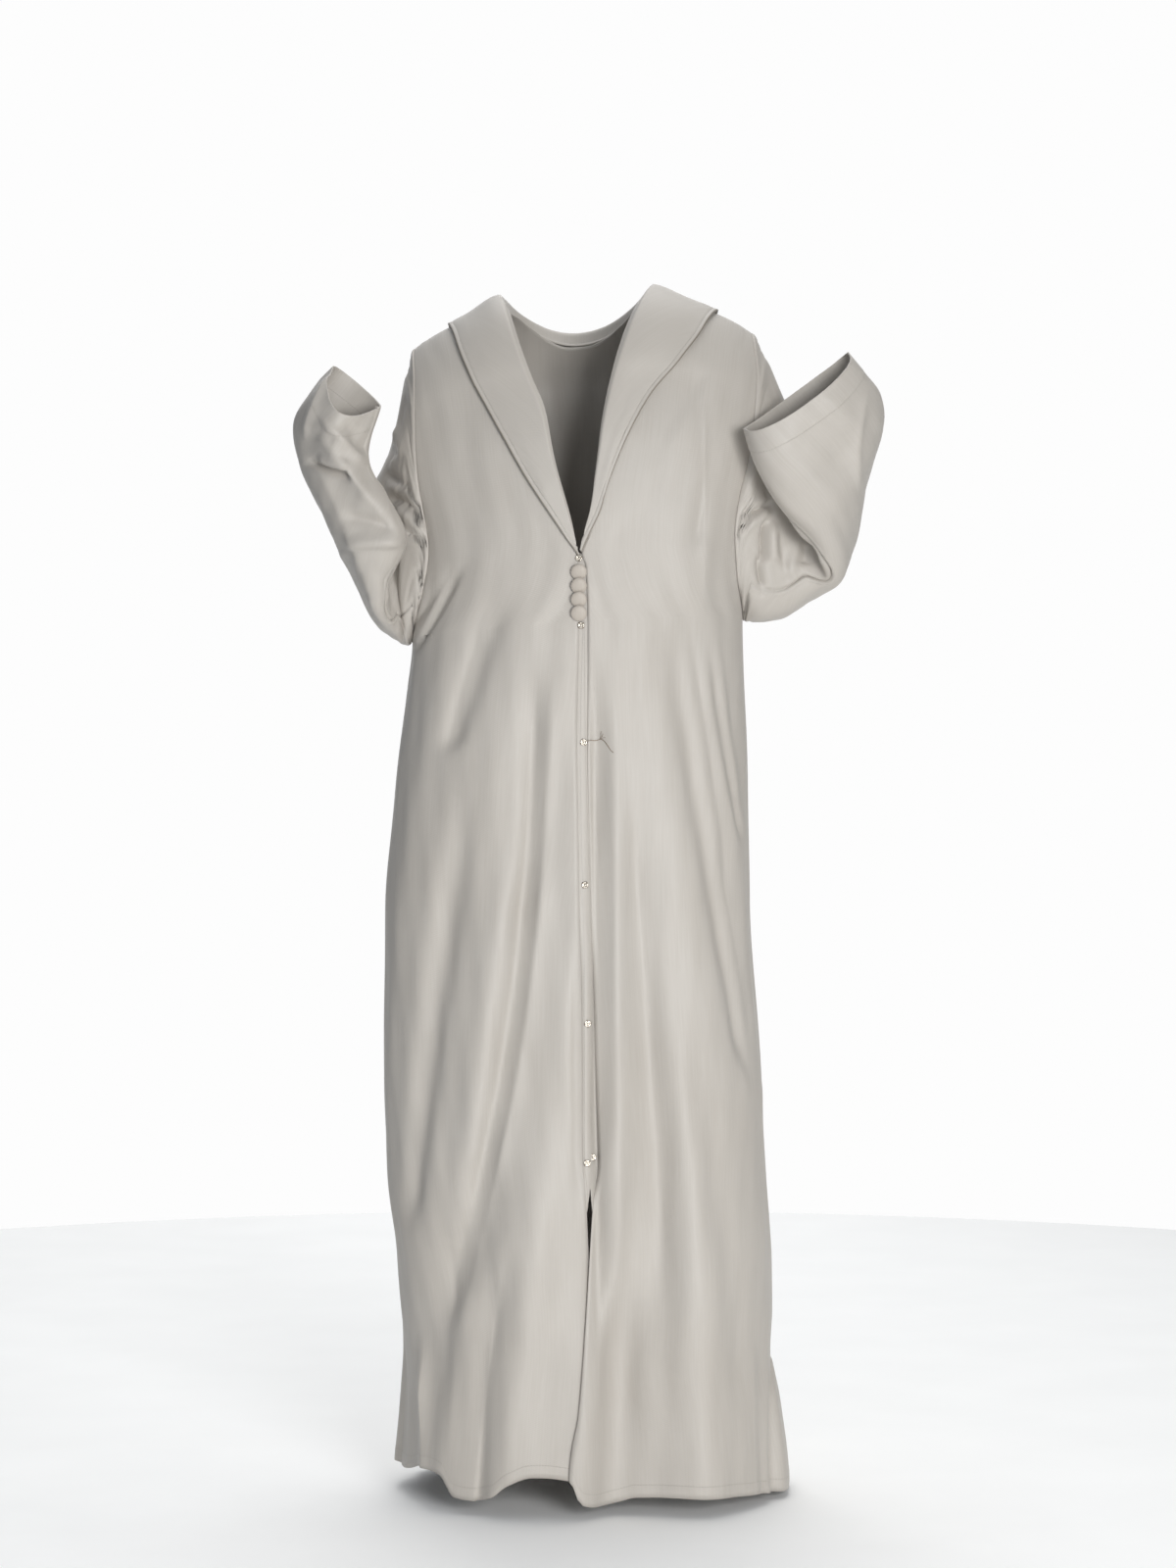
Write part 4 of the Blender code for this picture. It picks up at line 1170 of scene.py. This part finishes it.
def turned(name, profile, turns, ripples=0, ripple_depth=0.0):
    """A round piece about Z from an (r, z) profile, with a UV map in metres from above."""
    shape = bmesh.new()
    line = [shape.verts.new((r, 0.0, z)) for r, z in profile]
    for first, second in zip(line, line[1:]):
        shape.edges.new((first, second))
    bmesh.ops.spin(shape, geom=line + list(shape.edges), cent=(0, 0, 0), axis=(0, 0, 1),
                   dvec=(0, 0, 0), angle=2 * pi, steps=turns, use_merge=True)
    bmesh.ops.remove_doubles(shape, verts=shape.verts, dist=0.00001)
    bmesh.ops.recalc_face_normals(shape, faces=shape.faces)
    cloth = shape.loops.layers.uv.new("cloth")
    hem = shape.loops.layers.uv.new("hem")
    for face in shape.faces:
        for corner in face.loops:
            corner[cloth].uv = corner.vert.co.xy
            corner[hem].uv = (0.0, 1.0)
    for vert in shape.verts:
        flat = vert.co.xy.length
        if ripples and flat > 0.6 * BUTTON_R:
            way = np.arctan2(vert.co.y, vert.co.x)
            vert.co.xy *= 1.0 + ripple_depth / flat * np.cos(ripples * way)
    return finished(name, shape)


def button_profile():
    back = [(0.0, 0.0), (BUTTON_BACK_R * 0.8, 0.0), (BUTTON_BACK_R, 0.0001)]
    roll = [(BUTTON_R * 0.985, BUTTON_EDGE * 0.35), (BUTTON_R, BUTTON_EDGE * 0.8)]
    bends = np.radians([6, 14, 24, 36, 50, 64, 76, 84])
    dome = [(BUTTON_R * np.cos(a) ** 0.9, BUTTON_EDGE + BUTTON_DOME * np.sin(a)) for a in bends]
    return back + roll + dome + [(0.0, BUTTON_EDGE + BUTTON_DOME)]


buttons = []
for number in range(BUTTON_COUNT):
    button = turned(f"cloth_button_{number + 1}", button_profile(), BUTTON_TURNS, PUCKERS, PUCKER_DEPTH)
    rim = BUTTON_R * np.sin(BUTTON_TILT)
    button.data.transform(seat(BUTTON_X, BUTTON_TOP + number * BUTTON_PITCH, CLEAR + rim, BUTTON_TILT))
    buttons.append(button)
print("buttons:", len(buttons), "of", round(2000 * BUTTON_R, 1), "mm")

# %% [markdown]
# ## Ring snaps
#
# Each sewn snap half is a small nickelled brass ring, pressed from sheet, so its crown and
# its bore are rounded. Four groups of thread hold it, through holes at its edge.

# %% Snaps
SNAP_TURNS = 40
ON_FRONT = 0.0
ON_STAND = -0.0015
Snap = namedtuple("Snap", "node x drop lift spin")
SNAPS = [
    Snap("snap_neck", -0.0014, 0.2908, ON_FRONT, 0.2),
    Snap("snap_button", 0.0013, 0.3636, ON_FRONT, 0.7),
    Snap("snap_1", 0.0043, 0.4950, ON_STAND, 0.4),
    Snap("snap_2", 0.0057, 0.6550, ON_STAND, 0.9),
    Snap("snap_3", 0.0093, 0.8100, ON_STAND, 0.1),
    Snap("snap_4", 0.0086, 0.9650, ON_STAND, 0.6),
    Snap("snap_4_mate", 0.0160, 0.9585, ON_STAND, 0.3),
]
SNAP_PROFILE = [
    (0.0, 0.0), (0.0037, 0.0), (0.0039, 0.0002), (0.0039, 0.0006), (0.0037, 0.0009),
    (0.0034, 0.00115), (0.0031, 0.0012), (0.0026, 0.0012), (0.0023, 0.0011), (0.0021, 0.0009),
    (0.0019, 0.0005), (0.0017, 0.0004), (0.0009, 0.0004), (0.0007, 0.0008), (0.0004, 0.0010),
    (0.0, 0.00105),
]
THREAD_R = 0.00024
THREAD_SIDES = 7


def thread(shape, points, radius=THREAD_R):
    """A round thread through the points, made by extruding a circle from point to point."""
    points = [Vector(p) for p in points]
    way = (points[1] - points[0]).normalized()
    place = Matrix.Translation(points[0]) @ way.to_track_quat("Z", "Y").to_matrix().to_4x4()
    ring = bmesh.ops.create_circle(shape, segments=THREAD_SIDES, radius=radius, cap_ends=True,
                                   matrix=place)["verts"]
    edges = list({e for v in ring for e in v.link_edges})
    for i in range(1, len(points)):
        made = bmesh.ops.extrude_edge_only(shape, edges=edges)["geom"]
        ring = [g for g in made if isinstance(g, bmesh.types.BMVert)]
        edges = [g for g in made if isinstance(g, bmesh.types.BMEdge) and all(v in ring for v in g.verts)]
        bmesh.ops.translate(shape, verts=ring, vec=points[i] - points[i - 1])
        following = points[min(i + 1, len(points) - 1)] - points[i - 1]
        bend = way.rotation_difference(following.normalized()).to_matrix()
        bmesh.ops.rotate(shape, verts=ring, cent=points[i], matrix=bend)
        way = following.normalized()
    bmesh.ops.edgeloop_fill(shape, edges=edges)


def thread_piece(name, shape):
    bmesh.ops.recalc_face_normals(shape, faces=shape.faces)
    return finished(name, shape)


STITCH_ANGLES = [0.0, pi / 2, pi, 3 * pi / 2]
STITCH_SPREAD = 0.14
STITCH_PATH = [(0.0024, 0.0009), (0.0026, 0.0015), (0.0031, 0.0016), (0.0038, 0.0012), (0.0042, 0.0003)]

snap_rings = []
stitching = bmesh.new()
for snap in SNAPS:
    place = seat(snap.x, snap.drop, snap.lift + CLEAR)
    ring = turned("ring_" + snap.node, SNAP_PROFILE, SNAP_TURNS)
    ring.data.transform(place)
    snap_rings.append((ring, snap.node))
    for way in STITCH_ANGLES:
        for turn in (way + snap.spin - STITCH_SPREAD, way + snap.spin + STITCH_SPREAD):
            thread(stitching, [place @ Vector((r * np.cos(turn), r * np.sin(turn), z))
                               for r, z in STITCH_PATH])
snap_stitches = thread_piece("snap_stitches", stitching)
print("snap halves:", len(snap_rings), "stitch polygons:", len(snap_stitches.data.polygons))

# %% [markdown]
# ## The loose end of thread
#
# At the first snap below the buttons the maker's thread was not cut off. It lies across
# the wearer's left front, with a small frayed knot near its middle.

# %% Loose thread
LOOSE_LIFT = 0.0006
LOOSE_HOP = 0.0008        # every third point is lifted, so the thread doesn't lie flat
LOOSE_R = 0.00035
FRAYED_R = 0.00020
FRAYED_RISE = 0.0005
LOOSE_X_DROP = [
    (0.0080, 0.4945), (0.0105, 0.4932), (0.0130, 0.4930), (0.0165, 0.4938), (0.0200, 0.4936),
    (0.0232, 0.4925), (0.0262, 0.4935), (0.0290, 0.4965), (0.0318, 0.5010), (0.0345, 0.5055),
    (0.0374, 0.5085),
]
FRAYED = [
    [(0.0228, 0.4926), (0.0240, 0.4895), (0.0236, 0.4862), (0.0246, 0.4838)],
    [(0.0236, 0.4926), (0.0252, 0.4900), (0.0262, 0.4866)],
    [(0.0240, 0.4928), (0.0262, 0.4914), (0.0286, 0.4908)],
]


def on_front(x, drop, lift):
    angle, over = front_place(x, drop)
    return body_point(angle, over, lift + front_relief(body_point(angle, over)))


loose = bmesh.new()
route = [on_front(x, drop, LOOSE_LIFT + LOOSE_HOP * (i % 3 == 1))
         for i, (x, drop) in enumerate(LOOSE_X_DROP)]
thread(loose, route, LOOSE_R)
for strand in FRAYED:
    route = [on_front(x, drop, LOOSE_LIFT + FRAYED_RISE * i) for i, (x, drop) in enumerate(strand)]
    thread(loose, route, FRAYED_R)
loose_thread = thread_piece("loose_thread", loose)
print("loose thread polygons:", len(loose_thread.data.polygons))

# %% [markdown]
# ## Satin
#
# The cloth is a heavy polyester satin: long floats of warp lie on its face, so it is smooth
# and has a soft, wide shine. Its threads are about 0.1 mm apart, too fine to show, so the
# ribs below are drawn 0.9 mm apart. Slubs, slightly thicker threads, run down the cloth.

# %% Satin material
RIB_SPACING = 0.0009
RIB_ANGLE = radians(63.0)
SLUB_WIDTH = 0.0016
SLUB_LENGTH = 0.060
STITCH_LENGTH = 0.0032
STITCH_THICKNESS = 0.0005
STITCH_SHARE = 0.72           # part of its length over which a stitch shows
STITCH_SHADE = 0.16
# the stitches' thread colour, which also serves as the painted shade along the collar's edge
SEWN_AND_SHADE_COLOUR = "#6f665a"
EDGE_SHADE_WIDTH = 0.0020


def satin(name, light, dark, hem_stitch, edge_shade=0.0):
    """Woven satin, with a stitch line hem_stitch metres from its hem, and painted shade by edge_shade
    along its edge.
    """
    made, tree = new_material(name)
    place = add(tree, "TexCoord").outputs["Object"]
    cloth = add(tree, "UVMap", {"uv_map": "cloth"}).outputs["UV"]
    slub = add(tree, "Mapping", {"Scale": (1 / SLUB_WIDTH, 1 / SLUB_LENGTH, 1.0), "Vector": cloth})
    slub = noise(tree, slub.outputs[0], 1.0, 2.0)
    cloud = noise(tree, place, 5.0, 4.0)
    tone = blend(tree, between(tree, maths(tree, "ADD", slub, cloud), 0.7, 1.3), light, dark)

    hem = add(tree, "UVMap", {"uv_map": "hem"}).outputs["UV"]
    hem = add(tree, "SeparateXYZ", {"Vector": hem}).outputs
    off_line = maths(tree, "ABSOLUTE", maths(tree, "SUBTRACT", hem["Y"], hem_stitch))
    line = between(tree, off_line, STITCH_THICKNESS, STITCH_THICKNESS / 2)
    along = maths(tree, "FRACT", maths(tree, "DIVIDE", hem["X"], STITCH_LENGTH))
    sewn = maths(tree, "MULTIPLY", line, maths(tree, "LESS_THAN", along, STITCH_SHARE))
    # painted shade: a dark line within about 2 mm of the free edge, for the shadow where the collar stands
    # off the chest
    edge = between(tree, hem["Y"], EDGE_SHADE_WIDTH, EDGE_SHADE_WIDTH / 2, 0.0, edge_shade)
    stitches_and_painted_shade = maths(tree, "MAXIMUM", maths(tree, "MULTIPLY", sewn, STITCH_SHADE), edge)

    rib = add(tree, "Mapping", {"Rotation": (0.0, 0.0, RIB_ANGLE),
                                "Scale": (1 / RIB_SPACING,) * 3, "Vector": cloth})
    rib = add(tree, "TexWave", {"Scale": 1 / (2 * pi), "Distortion": 0.6, "Detail": 1.0,
                                "Vector": rib.outputs[0]})
    normal = bump(tree, noise(tree, place, 26.0, 3.0, 0.45), 0.25, 0.0016)
    normal = bump(tree, slub, 0.15, 0.00012, Normal=normal)
    normal = bump(tree, rib.outputs["Fac"], 0.5, 0.00006, Normal=normal)
    normal = bump(tree, sewn, 0.8, 0.0003, Normal=normal, invert=True)
    show(tree, {"IOR": 1.52, "Sheen Weight": 0.10, "Sheen Roughness": 0.45,
                "Sheen Tint": (1.0, 0.97, 0.93, 1.0), "Normal": normal,
                "Base Color": blend(tree, stitches_and_painted_shade, tone, SEWN_AND_SHADE_COLOUR),
                "Roughness": between(tree, slub, 0.0, 1.0, 0.52, 0.58)})
    return made


SATIN_LIGHT = "#b1aca5"
SATIN_DARK = "#aba59d"
BUTTON_LIGHT = "#afa89e"
BUTTON_DARK = "#a69d93"
satin_body = satin("heavy polyester satin, woven", SATIN_LIGHT, SATIN_DARK, HEM_TURN)
satin_cuff = satin("heavy polyester satin with a deep cuff hem", SATIN_LIGHT, SATIN_DARK, CUFF_HEM)
# the collar's satin carries painted shade, a dark line along its free edge
satin_collar = satin("heavy polyester satin, edge stitched", SATIN_LIGHT, SATIN_DARK, RIM, 0.8)

satin_button = satin("polyester satin pulled over a button", BUTTON_LIGHT, BUTTON_DARK, 0.5)

# %% [markdown]
# ## Brass and thread
#
# The snaps are stamped brass with a thin bright nickel plate, which handling has dulled.
# The sewing thread is spun polyester, matt and a little darker than the cloth, with the
# twist of its two plies drawn as fine slanting ridges.

# %% Brass and thread materials
brass, tree = new_material("nickel plated brass, stamped and tumbled")
dull = noise(tree, add(tree, "TexCoord").outputs["Object"], 900.0, 3.0)
show(tree, {"Metallic": 1.0, "Base Color": blend(tree, dull, "#bfbab1", "#968f85"),
            "Roughness": between(tree, dull, 0.0, 1.0, 0.24, 0.42)})

spun, tree = new_material("spun polyester sewing thread")
turn = add(tree, "Mapping", {"Rotation": (0.0, 0.0, radians(35.0)), "Scale": (1 / 0.0007,) * 3,
                             "Vector": add(tree, "TexCoord").outputs["Object"]})
plies = add(tree, "TexWave", {"Scale": 1 / (2 * pi), "Distortion": 1.0, "Vector": turn.outputs[0]})
plies = plies.outputs["Fac"]
show(tree, {"Roughness": 0.85, "Base Color": blend(tree, plies, "#75675a", "#8d7e6c"),
            "Normal": bump(tree, plies, 0.4, 0.0001)})

# %% [markdown]
# ## Dressing the frame
#
# Each cloth piece takes the place of its solid. Its row also lists what cloth it was cut from,
# flat, before it was sewn and worn: its widest place by its longest, though nothing below
# reads that size. A sleeve is widest at its armhole seam. The collar's strip is cut double,
# and only its upper layer counts here. The small pieces take the places of theirs.

# %% Dress the frame
Cut = namedtuple("Cut", "piece material node flat held on")
CUTS = [
    Cut(front_right, satin_body, "front_right", (0.38, 1.43), "hung", ["back"]),
    Cut(front_left, satin_body, "front_left", (0.38, 1.44), "hung", ["back"]),
    Cut(back, satin_body, "back", (0.66, 1.43), "hung", ["collar"]),
    Cut(placket, satin_body, "placket", (0.045, 0.74), "hung", ["front_right", "front_left"]),
    Cut(collar, satin_collar, "collar", (0.145, 1.30), "folded", ["front_right", "front_left", "back"]),
    Cut(sleeve_left, satin_cuff, "sleeve_left", (0.78, 0.53), "hung", ["front_left", "back"]),
    Cut(sleeve_right, satin_cuff, "sleeve_right", (0.80, 0.53), "hung", ["front_right", "back"]),
]
for cut in CUTS:
    dress(cut.piece, cut.material, "satin_cloth", cut.node)
for number, button in enumerate(buttons):
    dress(button, satin_button, "covered_button", f"button_{number + 1}")
for ring, node in snap_rings:
    dress(ring, brass, "snap_metal", node)
dress(snap_stitches, spun, "satin_cloth")
dress(loose_thread, spun, "satin_cloth")
print("dressed pieces:", len(CUTS) + len(buttons) + len(snap_rings) + 2)
